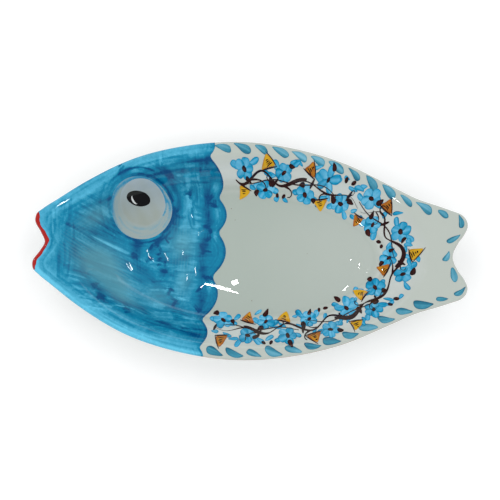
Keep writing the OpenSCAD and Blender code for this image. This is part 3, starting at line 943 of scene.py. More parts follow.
# Soft patches of the wash: place, length and width in millimetres, turn in degrees, load
washPatches = [
    ((-88, 77), 19, 7, -25, 0.32), ((-81, 65), 13, 6, -55, 0.24), ((-75, 49), 20, 6, -84, 0.26),
    ((-77, 25), 20, 5, -102, 0.22), ((-129, 74), 17, 6, 38, 0.3), ((-116, 3), 26, 11, 96, 0.3),
    ((-100, 1), 10, 9, 40, 0.2), ((-89, -7), 12, 8, 120, 0.2), ((-166, -22), 13, 7, 110, 0.2),
    ((-147, -50), 15, 6, -60, 0.24), ((-160, 12), 13, 7, 60, 0.12), ((-78, -56), 24, 9, 160, 0.24),
    ((-82, -76), 20, 5, -20, 0.3), ((-56, -86), 26, 5, -12, 0.3), ((-175, -9), 22, 6, 90, 0.16),
    ((-184, 14), 26, 5, 84, 0.18), ((-188, -16), 24, 5, 98, 0.12), ((-48, 90), 12, 8, 60, 0.26),
    ((-45, 60), 26, 9, 84, 0.22), ((-44, 33), 26, 9, 96, 0.24), ((-48, 8), 20, 9, 80, 0.26),
    ((-48, -20), 24, 9, 98, 0.2), ((-48, -50), 22, 9, 84, 0.22), ((-62, 64), 12, 8, 20, 0.14),
    ((-60, 90), 24, 6, -4, 0.14), ((-112, -30), 12, 5, 160, 0.16), ((-96, -32), 14, 6, 150, 0.16),
    ((-104, -64), 20, 5, 150, 0.16), ((-62, -32), 12, 6, 70, 0.14), ((-66, -6), 10, 6, 100, 0.12),
    ((-106, -22), 22, 12, 140, 0.16), ((-74, -10), 14, 8, 30, 0.18), ((-94, 10), 16, 6, 20, 0.16),
    ((-126, -14), 10, 7, 120, 0.14), ((-86, -20), 10, 6, 60, 0.2), ((-39, 68), 12, 7, 80, -0.2),
    ((-36, 42), 14, 7, 96, -0.14), ((-37, 18), 14, 6, 90, -0.16), ((-40, -34), 14, 6, 92, -0.14),
    ((-92, -56), 18, 9, 160, -0.12), ((-124, -46), 24, 11, 150, -0.1), ((-57, 76), 30, 7, 94, -0.16),
    ((-66, 70), 26, 6, 92, -0.12), ((-46, 75), 10, 7, 90, -0.12), ((-57, 22), 36, 8, 88, -0.1),
    ((-68, 34), 34, 7, 92, -0.08), ((-58, -12), 26, 8, 84, -0.1), ((-70, -26), 22, 9, 92, -0.1),
    ((-104, -12), 18, 8, 150, -0.1), ((-60, -70), 26, 7, 170, -0.12), ((-150, 34), 30, 9, 40, -0.06),
]
# painted sheen: where a pale haze of reflected light lies over the wash, without a load of its own
milkPatches = [
    ((-152, -16), 44, 34, -30, 0.85), ((-134, -36), 34, 18, -30, 0.6), ((-70, 8), 34, 26, 90, 0.45),
    ((-124, -52), 40, 12, -28, 0.4), ((-158, 30), 34, 16, 40, 0.4), ((-92, -46), 30, 20, -20, 0.3),
    ((-66, -30), 28, 16, 80, 0.3), ((-110, 92), 40, 5, 20, 0.2),
]

# The strokes of the wash. "width" and "load" are drawn between their bounds, and "bristles" says how streaky
# a stroke is, how dry it ends and how much pools at its sides
washStrokes = {
    # long thin strokes round the rim, and darker ones where it turns down into the wall
    "rim": [
        {"count": 150, "inset": (0.5, 13), "wide": 2.2, "load": (-0.07, 0.09)},
        {"count": 70, "jaws": True, "inset": (12, 22), "wide": 3, "load": (-0.08, 0.13)},
        {"count": 60, "jaws": True, "inset": (22, 40), "wide": 3, "load": (-0.12, 0.22)},
    ],
    "rimWidth": (0.6, 1.3),
    "rimBristles": (0.9, 0.4, 0.2),
    # down the mouth, behind the red line: "x" and "y" say where strokes lie
    "mouth": {"count": 36, "x": (-202, -176), "y": (-30, 34), "half": 13, "width": (1.6, 3.4),
              "load": (-0.12, 0.2), "bristles": (0.9, 0.4, 0.2)},
    # across the cheek, fanned out from the mouth
    "cheek": {"count": 210, "x": (-188, -140), "y": (-66, 50), "run": (20, 52), "width": (1.4, 3.8),
              "load": (-0.16, 0.2), "bristles": (1, 0.5, 0.2)},
    # round the eye: "reach" is how far from its middle, at the least and how much more
    "eye": {"count": 70, "reach": (31, 10), "turn": (0.35, 1.1), "width": (1.6, 4),
            "load": (-0.08, 0.3), "bristles": (0.8, 0.4, 0.2)},
    # level between the eye and the gill, and upright near the back, above "uprightFrom"
    "level": {"count": 330, "x": (-98, -43), "y": (-88, 92), "run": (9, 24), "uprightFrom": 40,
              "eyeClear": 33, "width": (1.4, 3.8), "load": (-0.17, 0.19), "bristles": (0.9, 0.5, 0.3)},
    # dark touches where the brush was put down full
    "full": {"width": (2, 4.2), "load": (0.26, 0.5), "bristles": (0.6, 0.3, 0.3), "places": [
        (-133, 76), (-84, 76), (-79, 40), (-84, 14), (-96, 4), (-104, -8), (-90, -14), (-118, -4),
        (-152, -40), (-146, -52), (-82, -38), (-76, -52), (-120, -62), (-44, 60), (-42, 52), (-44, 28),
        (-42, 20), (-46, 2), (-42, -26), (-50, -36), (-52, -58), (-64, 62), (-93, -4)]},
    # along the scallops of the gill, one inside another: how far in, and the load
    "gill": [(0.9, 0.3), (2.4, 0.04), (3.8, 0.12), (5.2, -0.05), (6.8, 0.1), (8.6, -0.05), (10.8, 0.08),
             (13, -0.04), (15.5, 0.06)],
    "gillWidth": 2.0,
    "gillBristles": (0.7, 0.25, 0.3),
}

# How much pigment lies under the strokes: on the flange, and how much more on the wall, at the gill and,
# where it is lightest as a painted highlight, along the lower lip
washLevels = {"flange": 0.25, "wall": 0.2, "gill": 0.1, "lowerLipHighlight": -0.3}


def softPatches(canvas, patches):
    x, y = canvasPlaces(canvas)
    for (left, low), length, width, turn, load in patches:
        lean = math.radians(turn)
        along = (x - left) * math.cos(lean) + (y - low) * math.sin(lean)
        across = (y - low) * math.cos(lean) - (x - left) * math.sin(lean)
        ragged = 1 + 0.22 * np.sin(across * 2.1 + left) + 0.18 * np.sin(across * 4.7 + low)
        fall = np.exp(-(2 * along / length * ragged) ** 2 - (2 * across / width) ** 2)
        canvas["field"] += 1.6 * load * fall


def rimStrokes(canvas, rng):
    inward = (wellMiddle - outline) / lengths(wellMiddle - outline)[:, None]
    onHead = np.where(outline[:, 0] < -40)[0]
    onHead = np.roll(onHead, -int(np.argmax(np.diff(onHead, prepend=onHead[0]) > 1)))
    jaws = onHead[np.abs(outline[onHead, 1]) > 34]
    for family in washStrokes["rim"]:
        kind = {**family, "width": washStrokes["rimWidth"], "bristles": washStrokes["rimBristles"]}
        line = jaws if "jaws" in family else onHead
        for k in range(kind["count"]):
            start, run = rng.integers(0, len(line) - 20), rng.integers(14, 48)
            path = (outline + inward * rng.uniform(*kind["inset"]))[line[start:start + run]]
            if lengths(np.diff(path, axis=0)).max(initial=0) > 20:  # it would jump over the mouth
                continue
            freeStroke(canvas, path[::-1] if rng.random() < 0.5 else path, kind, rng)


def mouthStrokes(canvas, rng):
    kind = washStrokes["mouth"]
    for k in range(kind["count"]):
        left, low = rng.uniform(*kind["x"]), rng.uniform(*kind["y"])
        end = (left + rng.uniform(-2, 2), low - kind["half"])
        path = curvedPath((left, low + kind["half"]), (left + 3.5 * math.cos(low / 20), low), end)
        freeStroke(canvas, path, kind, rng)


def cheekStrokes(canvas, rng):
    kind = washStrokes["cheek"]
    for k in range(kind["count"]):
        low = rng.uniform(*kind["y"])
        start = np.array([rng.uniform(*kind["x"]) + 0.006 * low * low, low])
        run, fall = rng.uniform(*kind["run"]), math.radians(-24 + 0.16 * (30 - low) + rng.uniform(-5, 5))
        way = np.array([math.cos(fall), math.sin(fall)]) * run
        middle = start + way / 2 + [0, rng.uniform(0, 2.5)]
        freeStroke(canvas, curvedPath(start, middle, start + way), kind, rng)


def eyeStrokes(canvas, rng):
    kind = washStrokes["eye"]
    for k in range(kind["count"]):
        least, more = kind["reach"]
        radius, begin = least + more * rng.random() ** 1.6, rng.uniform(0, 2 * math.pi)
        turn = begin + np.linspace(0, rng.uniform(*kind["turn"]), 12) * rng.choice([-1, 1])
        heavy = 1.3 if math.cos(begin - 0.3) > 0.1 else 0.6
        freeStroke(canvas, ringMiddle + roundAbout(turn) * radius, kind, rng, heavy)


def levelStrokes(canvas, rng):
    kind = washStrokes["level"]
    for k in range(kind["count"]):
        middle = np.array([rng.uniform(*kind["x"]), rng.uniform(*kind["y"])])
        run, lean = rng.uniform(*kind["run"]), rng.uniform(-2.2, 1.2)
        if lengths(middle - ringMiddle) < kind["eyeClear"] + run / 2:
            continue
        half, bow = np.array([run / 2, lean]), np.array([0, rng.uniform(-1.2, 1.6)])
        if middle[1] > kind["uprightFrom"] + 12 * math.sin(middle[0] / 3):
            half, bow = np.array([lean * 0.7 - 0.6, run * 0.4]), np.array([rng.uniform(-1.5, 1.5), 0])
        freeStroke(canvas, curvedPath(middle - half, middle + bow, middle + half), kind, rng)


def fullTouches(canvas, rng):
    for place in washStrokes["full"]["places"]:
        for k in range(3):
            spot = np.array(place) + rng.normal(0, 2.2, 2)
            lean = rng.uniform(0, math.pi)
            way = np.array([math.cos(lean), math.sin(lean)]) * rng.uniform(1.5, 4)
            path = curvedPath(spot - way, spot + rng.normal(0, 1, 2), spot + way)
            freeStroke(canvas, path, washStrokes["full"], rng)


def gillStrokes(canvas, rng):
    for a, b in zip(gill[:-1], gill[1:]):
        curve = np.vstack([scallop(a, b, 16), b])
        middle = curve.mean(0) - [3, 0]
        for inset, load in washStrokes["gill"]:
            path = middle + (curve - middle) * (1 - inset / 42) - [inset * 0.55, 0]
            path = (path + rng.normal(0, 0.25, path.shape))[::rng.choice([-1, 1])]
            load = load * rng.uniform(0.8, 1.2)
            brushStroke(canvas, path, washStrokes["gillWidth"], load, rng, *washStrokes["gillBristles"])


def headPigment():
    rng = np.random.default_rng(head["seed"])
    low, high = washLoop.min(0) - 2, washLoop.max(0) + 2
    canvas, milk = newCanvas(low, high), newCanvas(low, high)
    x, y = canvasPlaces(canvas)
    inset = gapToLoop(np.stack([x.ravel(), y.ravel()], -1), outline[::3]).reshape(x.shape)
    canvas["field"] += (washLevels["flange"] + washLevels["wall"] * np.clip((inset - 8) / 8, 0, 1)
                        + washLevels["gill"] * np.clip((x + 62) / 14, 0, 1))
    # painted highlight: less pigment in a band along the lower lip
    canvas["field"] += washLevels["lowerLipHighlight"] * np.clip(1 - np.abs(inset - 2) / 3, 0, 1) * (y < -20)
    softPatches(canvas, washPatches)
    # the painted sheen of reflected light, on a canvas of its own
    softPatches(milk, milkPatches)
    for strokes in (rimStrokes, mouthStrokes, cheekStrokes, eyeStrokes, levelStrokes, fullTouches,
                    gillStrokes):
        strokes(canvas, rng)
    return canvas, milk


def makeHeadWash():
    canvas, milk = headPigment()
    plan, faces = cutPatch([washLoop, ringLoop, lipLoop], head["washStep"])[:2]
    store = newPaint()
    addPatch(store, plan, faces, pigment=pigmentAt(canvas, plan), milk=pigmentAt(milk, plan))
    paintPiece("head_brushwork", store, "headWash", "blue_wash", "head_wash")


def makeLip():
    plan, faces = triangulated([lipLoop], head["lipStep"])
    streak = 0.12 * np.sin(plan[:, 0] * 4.1 + np.sin(plan[:, 1] / 4) * 2)
    store = newPaint()
    addPatch(store, plan, faces, pigment=0.5 + 0.25 * np.exp(-gapToLoop(plan, lipLoop) / 0.7) + streak)
    paintPiece("lip_brushline", store, "redPaint", "red_paint", "lip_line")


# Blue brushed into the pale ring, mostly round its outer edge, and a line of it round the white
def makeEyeRing():
    plan, faces = cutPatch([ringLoop, whiteLoop], eye["step"])[:2]
    rng = np.random.default_rng(eye["seed"])
    canvas = newCanvas(ringLoop.min(0) - 2, ringLoop.max(0) + 2)
    canvas["field"] += eye["ringLevel"]
    count, run, width = eye["ringStrokes"]
    for k in range(count):
        begin = rng.uniform(0, 2 * math.pi) if k % 4 else rng.uniform(0.2, 2.9)
        turn = begin + np.linspace(0, rng.uniform(*run), 14)
        lower = int(math.sin(begin + 0.5) <= -0.2)
        inward, load = rng.uniform(*eye["ringInsets"][lower]), rng.uniform(*eye["ringLoads"][lower])
        path = ringMiddle + roundAbout(turn) * (ringSize / 2 - inward)
        brushStroke(canvas, path, rng.uniform(*width), load, rng, 0.5)
    count, run, width = eye["whiteStrokes"]
    for k in range(count):
        turn = rng.uniform(-0.6, 1.9) + np.linspace(0, rng.uniform(*run), 12)
        path = whiteMiddle + roundAbout(turn) * (whiteSize / 2 + rng.uniform(0.4, 2))
        brushStroke(canvas, path, width, rng.uniform(*eye["whiteLoads"]), rng, 0.4)
    store = newPaint()
    addPatch(store, plan, faces, pigment=pigmentAt(canvas, plan))
    paintPiece("eye_ring_wash", store, "eyeRingWash", "pale_wash", "eye_ring")


# The white is shaded towards its lower half, and the pupil keeps a crescent of light
def makeEye():
    plan, faces = cutPatch([whiteLoop, pupilLoop], eye["step"])[:2]
    low = (whiteMiddle[1] - plan[:, 1]) / whiteSize[1]
    shade = 0.3 + 0.5 * low - 0.2 * np.exp(-gapToLoop(plan, whiteLoop) / 1.2)
    store = newPaint()
    addPatch(store, plan, faces, pigment=shade + 0.05 * np.sin(plan[:, 0] / 2.6 + plan[:, 1] / 5))
    paintPiece("eye_white_paint", store, "eyeWhitePaint", "eye_white", "eye_white")

    length, outer, inner = eye["glintSize"]
    arc = roundAbout(np.linspace(0, math.pi, 12))
    crescent = np.vstack([arc * (length, outer), (arc * (length, inner))[::-1][1:-1]])
    glint = turned(crescent, math.radians(eye["glintTurn"])) + pupilMiddle + eye["glintPlace"]
    plan, faces, within = cutPatch([pupilLoop, evenLoop(glint, 0.5)], eye["pupilStep"])
    store = newPaint()
    addPatch(store, plan, faces, pigment=0.5 + 0.3 * np.exp(-gapToLoop(plan, pupilLoop)))
    paintPiece("eye_pupil_paint", store, "blackPaint", "black_paint", "eye_pupil")
    store = newPaint()
    addPatch(store, plan, within, pigment=0.1)
    paintPiece("eye_glint", store, "eyeGlintPaint", "eye_white")


makeHeadWash()
makeLip()
makeEyeRing()
makeEye()


# Touches of the brush

touch = {
    "uneven": [(2, 0.04), (3, 0.035), (5, 0.02)],  # waves round its edge: how many, and how high, as a share
    "edgePool": (0.3, 0.45),  # how much pigment pools along the edge, over how wide a line
    "roundEnd": (-0.15, 0.45),
    "bristles": 0.17,
    "dryLine": (0.18, 0.2),  # how much lighter the middle is, over which share of the width
    "overlap": 0.24,  # how much darker it is where it lies on an earlier touch
}


# A drop with its point towards +X, bent and uneven as a full brush leaves it; a point of 0 is blunt, 1 sharp
def dropLoop(length, width, bend, seed, point=0.6):
    turn = np.linspace(0, 2 * math.pi, 64, endpoint=False)
    x, y = np.cos(turn), np.sin(turn) * (1 - point * np.cos(turn))
    y /= y.max()
    uneven = 1 + sum(size * np.sin(count * turn + count * seed) for count, size in touch["uneven"])
    drop = np.c_[x * length / 2, y * width / 2 + bend * (x**2 - 0.4)]
    return evenLoop(drop * uneven[:, None], paint["touchStep"] * 0.8)


# Puts a touch of the brush on a piece, with its pigment pooled along the edge and at the round end. It is
# darker over the loops "under" it, and by "side" from one long side to the other
def addTouch(store, loop, place, angle, layer, load, rng, under=(), side=0):
    plan, faces = triangulated([loop], paint["touchStep"])
    gap = gapToLoop(plan, loop)
    share = np.clip(0.5 - plan[:, 0] / np.ptp(loop[:, 0]), 0, 1)
    across = (plan[:, 1] - loop[:, 1].min()) / np.ptp(loop[:, 1])
    (pool, poolWidth), (dry, dryWidth) = touch["edgePool"], touch["dryLine"]
    pigment = load + pool * np.exp(-gap / poolWidth) + rng.uniform(*touch["roundEnd"]) * (share - 0.4)
    pigment += side * (across - 0.5)
    pigment += touch["bristles"] * np.interp(across, np.linspace(0, 1, 7), rng.uniform(-1, 1, 7))
    pigment -= dry * np.exp(-((across - rng.uniform(0.3, 0.7)) / dryWidth) ** 2) * (gap > 0.7)
    placed = turned(plan, angle) + place
    for other in under:
        pigment += touch["overlap"] * insideLoop(placed, other)
    addPatch(store, placed, faces, layer, pigment=pigment)
    return turned(loop, angle) + place


# The place and the heading at a share of the length of a path
def walkedTo(path, share):
    walk = np.r_[0, np.cumsum(lengths(np.diff(path, axis=0)))]
    goal = share * walk[-1]
    i = min(np.searchsorted(walk, goal, "right") - 1, len(path) - 2)
    way = path[i + 1] - path[i]
    return path[i] + way * (goal - walk[i]) / lengths(way), math.atan2(way[1], way[0])


border = {
    "seed": 21,
    "count": 31,
    "length": 18,
    "width": 7.6,
    "inset": 6.2,  # how far in from the outline they stand
    "slant": 22,  # degrees between a stroke and the rim
    "firstShare": 0.67,  # how far behind the gill the first one stands, in its length
    "tailFrom": 178,
    "tailLess": 0.22,  # how much smaller the strokes are from there on
    "load": 0.4,
    "bellyLoad": 0.16,  # how much darker they are along the belly
    "sideLoad": 0.35,  # and how much darker on one side than on the other
}


def makeBorder():
    rng = np.random.default_rng(border["seed"])
    way = np.roll(outline, -1, 0) - np.roll(outline, 1, 0)
    way /= lengths(way)[:, None]
    line = outline + np.c_[way[:, 1], -way[:, 0]] * border["inset"]
    line = line[line[:, 0] > gill[1][0] + border["length"] * border["firstShare"]]
    store = newPaint()
    for k in range(border["count"]):
        place, heading = walkedTo(line, k / (border["count"] - 1))
        size = 0.97 + 0.1 * math.sin(k * 2.4) - border["tailLess"] * (place[0] > border["tailFrom"])
        loop = dropLoop(border["length"] * size, border["width"] * (size + 0.1 * math.sin(k * 1.7)),
                        0.9 + 0.7 * math.sin(k * 3.1), k, 0.5 + 0.15 * math.sin(k * 1.9))
        angle = heading + math.radians(180 - border["slant"]) + 0.09 * math.sin(k * 5.3)
        load = border["load"] + 0.12 * math.sin(k * 1.1) + border["bellyLoad"] * (place[1] < 0)
        addTouch(store, loop, place, angle, 0, load, rng, side=border["sideLoad"])
    paintPiece("border_brushstrokes", store, "borderPaint", "blue_paint", "border_strokes")


makeBorder()


# The garland

garland = {
    "blossoms": 20,
    "turnShares": (0.533, -0.561),  # where it begins and ends around the well, in half turns
    "wallShare": 0.52,  # how far up the wall its line runs
    "sway": 10,  # how far from that line a side of 1 is
}

# Which paints lie over which others
layers = {
    "leaves": 0,
    "fillers": 0.5,
    "petals": 1,
    "nextPetal": 0.8,  # how much higher each petal lies than the one before
    "buds": 5,
    "berries": 6,
    "touches": 7,
    "sprays": 7,
    "hatching": 7,
    "fineLines": 7.5,
    "heavyLines": 7.6,
    "bars": 8,
    "hearts": 8,
}

turns = np.linspace(*garland["turnShares"], 91) * math.pi
wallShare = garland["wallShare"]
garlandLine = rayTo(turns, floorSize) * (1 - wallShare) + rayTo(turns, wellSize) * wallShare
blossoms = range(garland["blossoms"])


def garlandPlace(share, side):
    place, heading = walkedTo(garlandLine, share)
    return place + np.array([-math.sin(heading), math.cos(heading)]) * side * garland["sway"]


def headingAt(share):
    return walkedTo(garlandLine, share)[1]


# A number between -1 and 1, another one for each place
def waver(number):
    return math.sin(math.radians(number * 137))


# The side of the garland's line on which blossom k lies, and its share of the line
def sideOf(k):
    return 1 if k % 2 == 0 else -1


def shareOf(k):
    return (k + 0.5 + 0.12 * waver(k)) / garland["blossoms"]


blossom = {
    "seed": 31,
    "petals": 5,
    "radius": 10,
    "grandShare": 1.28,  # how much larger every ninth blossom is
    "grandPetal": 0.72,  # and how narrow its petals are
    "petalLength": 1.04,
    "petalWidth": (0.8, 0.98),
    "centreSize": (5.4, 3.6),
    "touchLength": (5.4, 9.4),
    "touchWidth": (3.6, 5.6),
}


def blossomPlace(k):
    return garlandPlace(shareOf(k), sideOf(k) * 0.8 * (1 + 0.25 * waver(k + 5)))


def makeBlossoms():
    rng = np.random.default_rng(blossom["seed"])
    petals, hearts, touches = newPaint(), newPaint(), newPaint()
    apart = 2 * math.pi / blossom["petals"]
    for k in blossoms:
        middle, turn = blossomPlace(k), apart * waver(k + 7)
        grand = k % 9 == 4
        radius = blossom["radius"] * (blossom["grandShare"] if grand else 1 - (1 - waver(k + 3)) * 0.06)
        laid = []
        for petal in rng.permutation(blossom["petals"]):
            angle = turn + apart * petal + rng.uniform(-0.14, 0.14)
            reach = radius * rng.uniform(0.88, 1.04)
            width = reach * rng.uniform(*blossom["petalWidth"]) * (blossom["grandPetal"] if grand else 1)
            length, bend = reach * blossom["petalLength"], rng.uniform(-0.5, 0.5)
            loop = dropLoop(length, width, bend, k + petal * 1.3, 0.3)
            place = middle + turned(np.array([[reach * 0.5, 0]]), angle)[0]
            layer, load = layers["petals"] + petal * layers["nextPetal"], rng.uniform(0.16, 0.5)
            laid.append(addTouch(petals, loop, place, angle + math.pi, layer, load, rng, laid))
        size = np.array(blossom["centreSize"]) * (1 + 0.12 * waver(k + 11))
        loop = evenLoop(handOval(np.zeros(2), size, 0.22, k, 40), 0.6)
        addTouch(hearts, loop, middle, turn, layers["hearts"], 0.45, rng)
        # dark touches at the ends of some petals
        for petal in range(1 + k % 2):
            angle = turn + apart * (petal * 2 + 0.5 * (k % 2))
            place = middle + turned(np.array([[radius * rng.uniform(0.86, 1.08), 0]]), angle)[0]
            length, width = rng.uniform(*blossom["touchLength"]), rng.uniform(*blossom["touchWidth"])
            loop = dropLoop(length, width, 0.3, k + petal, 0.5)
            lean = angle + rng.uniform(-1.2, 1.2)
            addTouch(touches, loop, place, lean, layers["touches"], 0.5, rng)
    paintPiece("blossom_petals", petals, "bluePaint", "blue_paint", "blossoms")
    paintPiece("blossom_hearts", hearts, "brownPaint", "brown_paint", "blossom_centres")
    paintPiece("dark_touches", touches, "brownPaint", "brown_paint")


# A line of a fine brush, thick where it was pressed
def addLine(store, path, widths, layer, load):
    path = np.asarray(path)
    way = np.gradient(path, axis=0)
    way /= np.maximum(lengths(way), 1e-9)[:, None]
    off = np.c_[-way[:, 1], way[:, 0]] * (np.broadcast_to(widths, len(path)) / 2)[:, None]
    ends = np.array([path[0] - way[0] * 0.15, path[-1] + way[-1] * 0.15])
    loop = np.vstack([ends[:1], path + off, ends[1:], (path - off)[::-1]])
    plan, faces = triangulated([loop], 0.9)
    pigment = load + 0.15 * np.exp(-gapToLoop(plan, loop) / 0.25)
    addPatch(store, plan, faces, layer, pigment=pigment)


# How hard a fine brush is pressed along a stroke, from soft to hard and to soft again; 0 to pi is all of it
def pressed(first, last, count):
    return np.sin(np.linspace(first, last, count))


# Lengths along the vine are counted in blossoms
vine = {
    "seed": 41,
    "width": 1.4,
    # long sprays, from one share of the garland to another
    "sprays": [(0.005, 0.315), (0.63, 0.325), (0.64, 0.995)],
    # heavy strokes that run along the vine and stop short: start, length and drift to the side
    "heavy": [(2.2, 1.3, 0.1), (8.6, 1.5, -0.15), (12.6, 1.6, 0.2), (17.4, 1.2, -0.1)],
    "heavyWidth": 3.3,
    # thin second lines that cross the sprays: start and length
    "second": [(0.5, 4.6), (6.2, 3.4), (11.4, 4.2), (16, 3.6)],
    "secondWidth": 0.75,
    "tendrilRun": (9, 23),
    "tendrilCurl": (1.2, 3.8),
    "tendrilWidth": (0.8, 1.9),
}


# How far to the side the vine runs, at a share of the garland
def vineSide(share):
    reach = 0.42 + 0.2 * np.sin(2 * math.pi * share * 2.7 + 0.8)
    return -reach * np.sin(math.pi * share * garland["blossoms"] + 0.5 * np.sin(2 * math.pi * share * 3.1))


# A path along the vine, at these shares and that much beside it
def vinePath(shares, beside):
    return np.array([garlandPlace(share, vineSide(share) + off) for share, off in zip(shares, beside)])


def vineSprays(store):
    count = garland["blossoms"]
    for first, last in vine["sprays"]:
        run = np.linspace(0, 1, 100)
        # pressed hard where it starts and run out to a thin end
        press = vine["width"] * (1.6 - 1.1 * run + 0.38 * np.sin(run * 19 + first * 9))
        press = press * np.clip(run * 12 + 0.35, 0, 1) * np.clip((1 - run) * 8 + 0.2, 0, 1)
        addLine(store, vinePath(np.linspace(first, last, 100), 0 * run), press, layers["sprays"], 0.5)
    for start, reach, drift in vine["heavy"]:
        part = np.linspace(start, start + reach, 24)
        press = vine["heavyWidth"] * pressed(0.2, 2.6, 24) ** 0.7 + 0.1
        path = vinePath(part / count, drift * (part - start))
        addLine(store, path, press, layers["heavyLines"], 0.55)
    for start, reach in vine["second"]:
        part = np.linspace(start, start + reach, 50)
        side = np.linspace(-0.5, 0.6, 50) * np.sin(part * 1.9) - 0.1
        path = [garlandPlace(s / count, off) for s, off in zip(part, side)]
        press = vine["secondWidth"] * pressed(0.25, 2.9, 50) + 0.3
        addLine(store, path, press, layers["fineLines"], 0.42)


# Tendrils that curl off the vine, long and short
def vineTendrils(store, rng):
    for k in blossoms[:-1]:
        if k % 5 == 3:
            continue
        back = k % 3 == 1
        share, side = shareOf(k) + (0.3 + 0.2 * waver(k)) / len(blossoms), -sideOf(k)
        heading = headingAt(share) + rng.uniform(-0.25, 0.25) + (math.pi if back else 0)
        run, curl = rng.uniform(*vine["tendrilRun"]), rng.uniform(*vine["tendrilCurl"])
        t = np.linspace(0, 1, 36)
        bend = heading + side * (0.15 + curl * t**2.2) * (-1 if back else 1)
        path = garlandPlace(share, vineSide(share)) + np.cumsum(roundAbout(bend) * run / 36, 0)
        press = rng.uniform(*vine["tendrilWidth"]) * (1 - 0.62 * t) + 0.2 * np.sin(t * 9)
        addLine(store, path, press, layers["fineLines"], 0.48)


# Short bars of a full brush across the vine
def vineBars(store, rng):
    for k in blossoms[1::2]:
        share = shareOf(k) + rng.uniform(0.2, 0.5) / len(blossoms)
        place = garlandPlace(share, vineSide(share))
        bars = [(1.3, rng.uniform(2.6, 5), 2.3)] + [(0.4, 2.4, 1.5)] * (k % 4 == 1)
        for turn, run, thick in bars:
            lean = headingAt(share) + turn + rng.uniform(-0.3, 0.3)
            way = np.array([math.cos(lean), math.sin(lean)]) * run
            bar = np.linspace(place - way, place + way, 12)
            addLine(store, bar, thick * pressed(0.45, 2.75, 12) + 0.2, layers["bars"], 0.6)


def makeVine():
    rng = np.random.default_rng(vine["seed"])
    store = newPaint()
    vineSprays(store)
    vineTendrils(store, rng)
    vineBars(store, rng)
    paintPiece("vine_lines", store, "brownPaint", "brown_paint", "vine")


leaf = {
    "seed": 51,
    "size": (12, 6),
    "beside": 0.4,  # how far before and after its blossom, in blossoms
    "slant": (35, 25),  # in degrees, and how much that varies
    "load": (0.3, 0.5),
    "fillers": 7,  # small strokes for each blossom, in the gaps of the band
    "fillerLength": (6, 10.5),
    "fillerWidth": (3.2, 5.2),
    "fillerClear": 1.25,  # how far they keep from the blossoms, in their radius
}


def makeLeaves():
    rng = np.random.default_rng(leaf["seed"])
    store = newPaint()
    for k in blossoms:
        for after in (-1, 1):
            share = shareOf(k) + leaf["beside"] * after / len(blossoms)
            side = 1 + 0.15 * after + 0.25 * waver(k + 9)
            turn = math.radians(leaf["slant"][0] + leaf["slant"][1] * waver(k + 4)) * after
            angle = headingAt(share) + sideOf(k) * turn + (math.pi if after == 1 else 0)
            length, width = np.array(leaf["size"]) * rng.uniform(0.82, 1.06)
            loop = dropLoop(length, width, 0.5 * waver(k), k * 1.9 + after, 0.4)
            place, load = garlandPlace(share, sideOf(k) * side), rng.uniform(*leaf["load"])
            addTouch(store, loop, place, angle, layers["leaves"], load, rng)
    middles = np.array([blossomPlace(k) for k in blossoms])
    fillers = len(blossoms) * leaf["fillers"]
    for k in range(fillers):
        place = garlandPlace((k + rng.uniform(0, 1)) / fillers, rng.uniform(-2, 1.7))
        if lengths(middles - place).min() < blossom["radius"] * leaf["fillerClear"]:
            continue
        length, width = rng.uniform(*leaf["fillerLength"]), rng.uniform(*leaf["fillerWidth"])
        loop = dropLoop(length, width, rng.uniform(-0.6, 0.6), k, 0.4)
        angle = headingAt(k / fillers) + rng.uniform(-1.2, 1.2)
        addTouch(store, loop, place, angle, layers["fillers"] + k % 3, rng.uniform(*leaf["load"]), rng)
    paintPiece("leaf_touches", store, "bluePaint", "blue_paint", "leaves")


bud = {
    "seed": 61,
    "radius": 6.4,
    "corner": 1.24,  # how far out the corners and the middles of the sides lie, in radii
    "flat": 0.66,
    "side": -1.35,
    "loads": (0.02, 0.5),
    "hatch": 2.9,  # half the length of the longest stroke across it
    "hatchWidth": (0.7, 1.1),
}


# A rough three sided touch, about the middle of a bud
def budCorners(rng):
    turn = np.arange(6) * math.pi / 3 + rng.uniform(-0.3, 0.3, 6)
    shares = np.where(np.arange(6) % 2 == 0, bud["corner"], bud["flat"]) * rng.uniform(0.8, 1.18, 6)
    return roundAbout(turn) * (bud["radius"] * shares)[:, None]


# The same loop with its corners rounded, over that many points to each side
def softened(loop, reach):
    return sum(np.roll(loop, k, 0) for k in range(-reach, reach + 1)) / (2 * reach + 1)


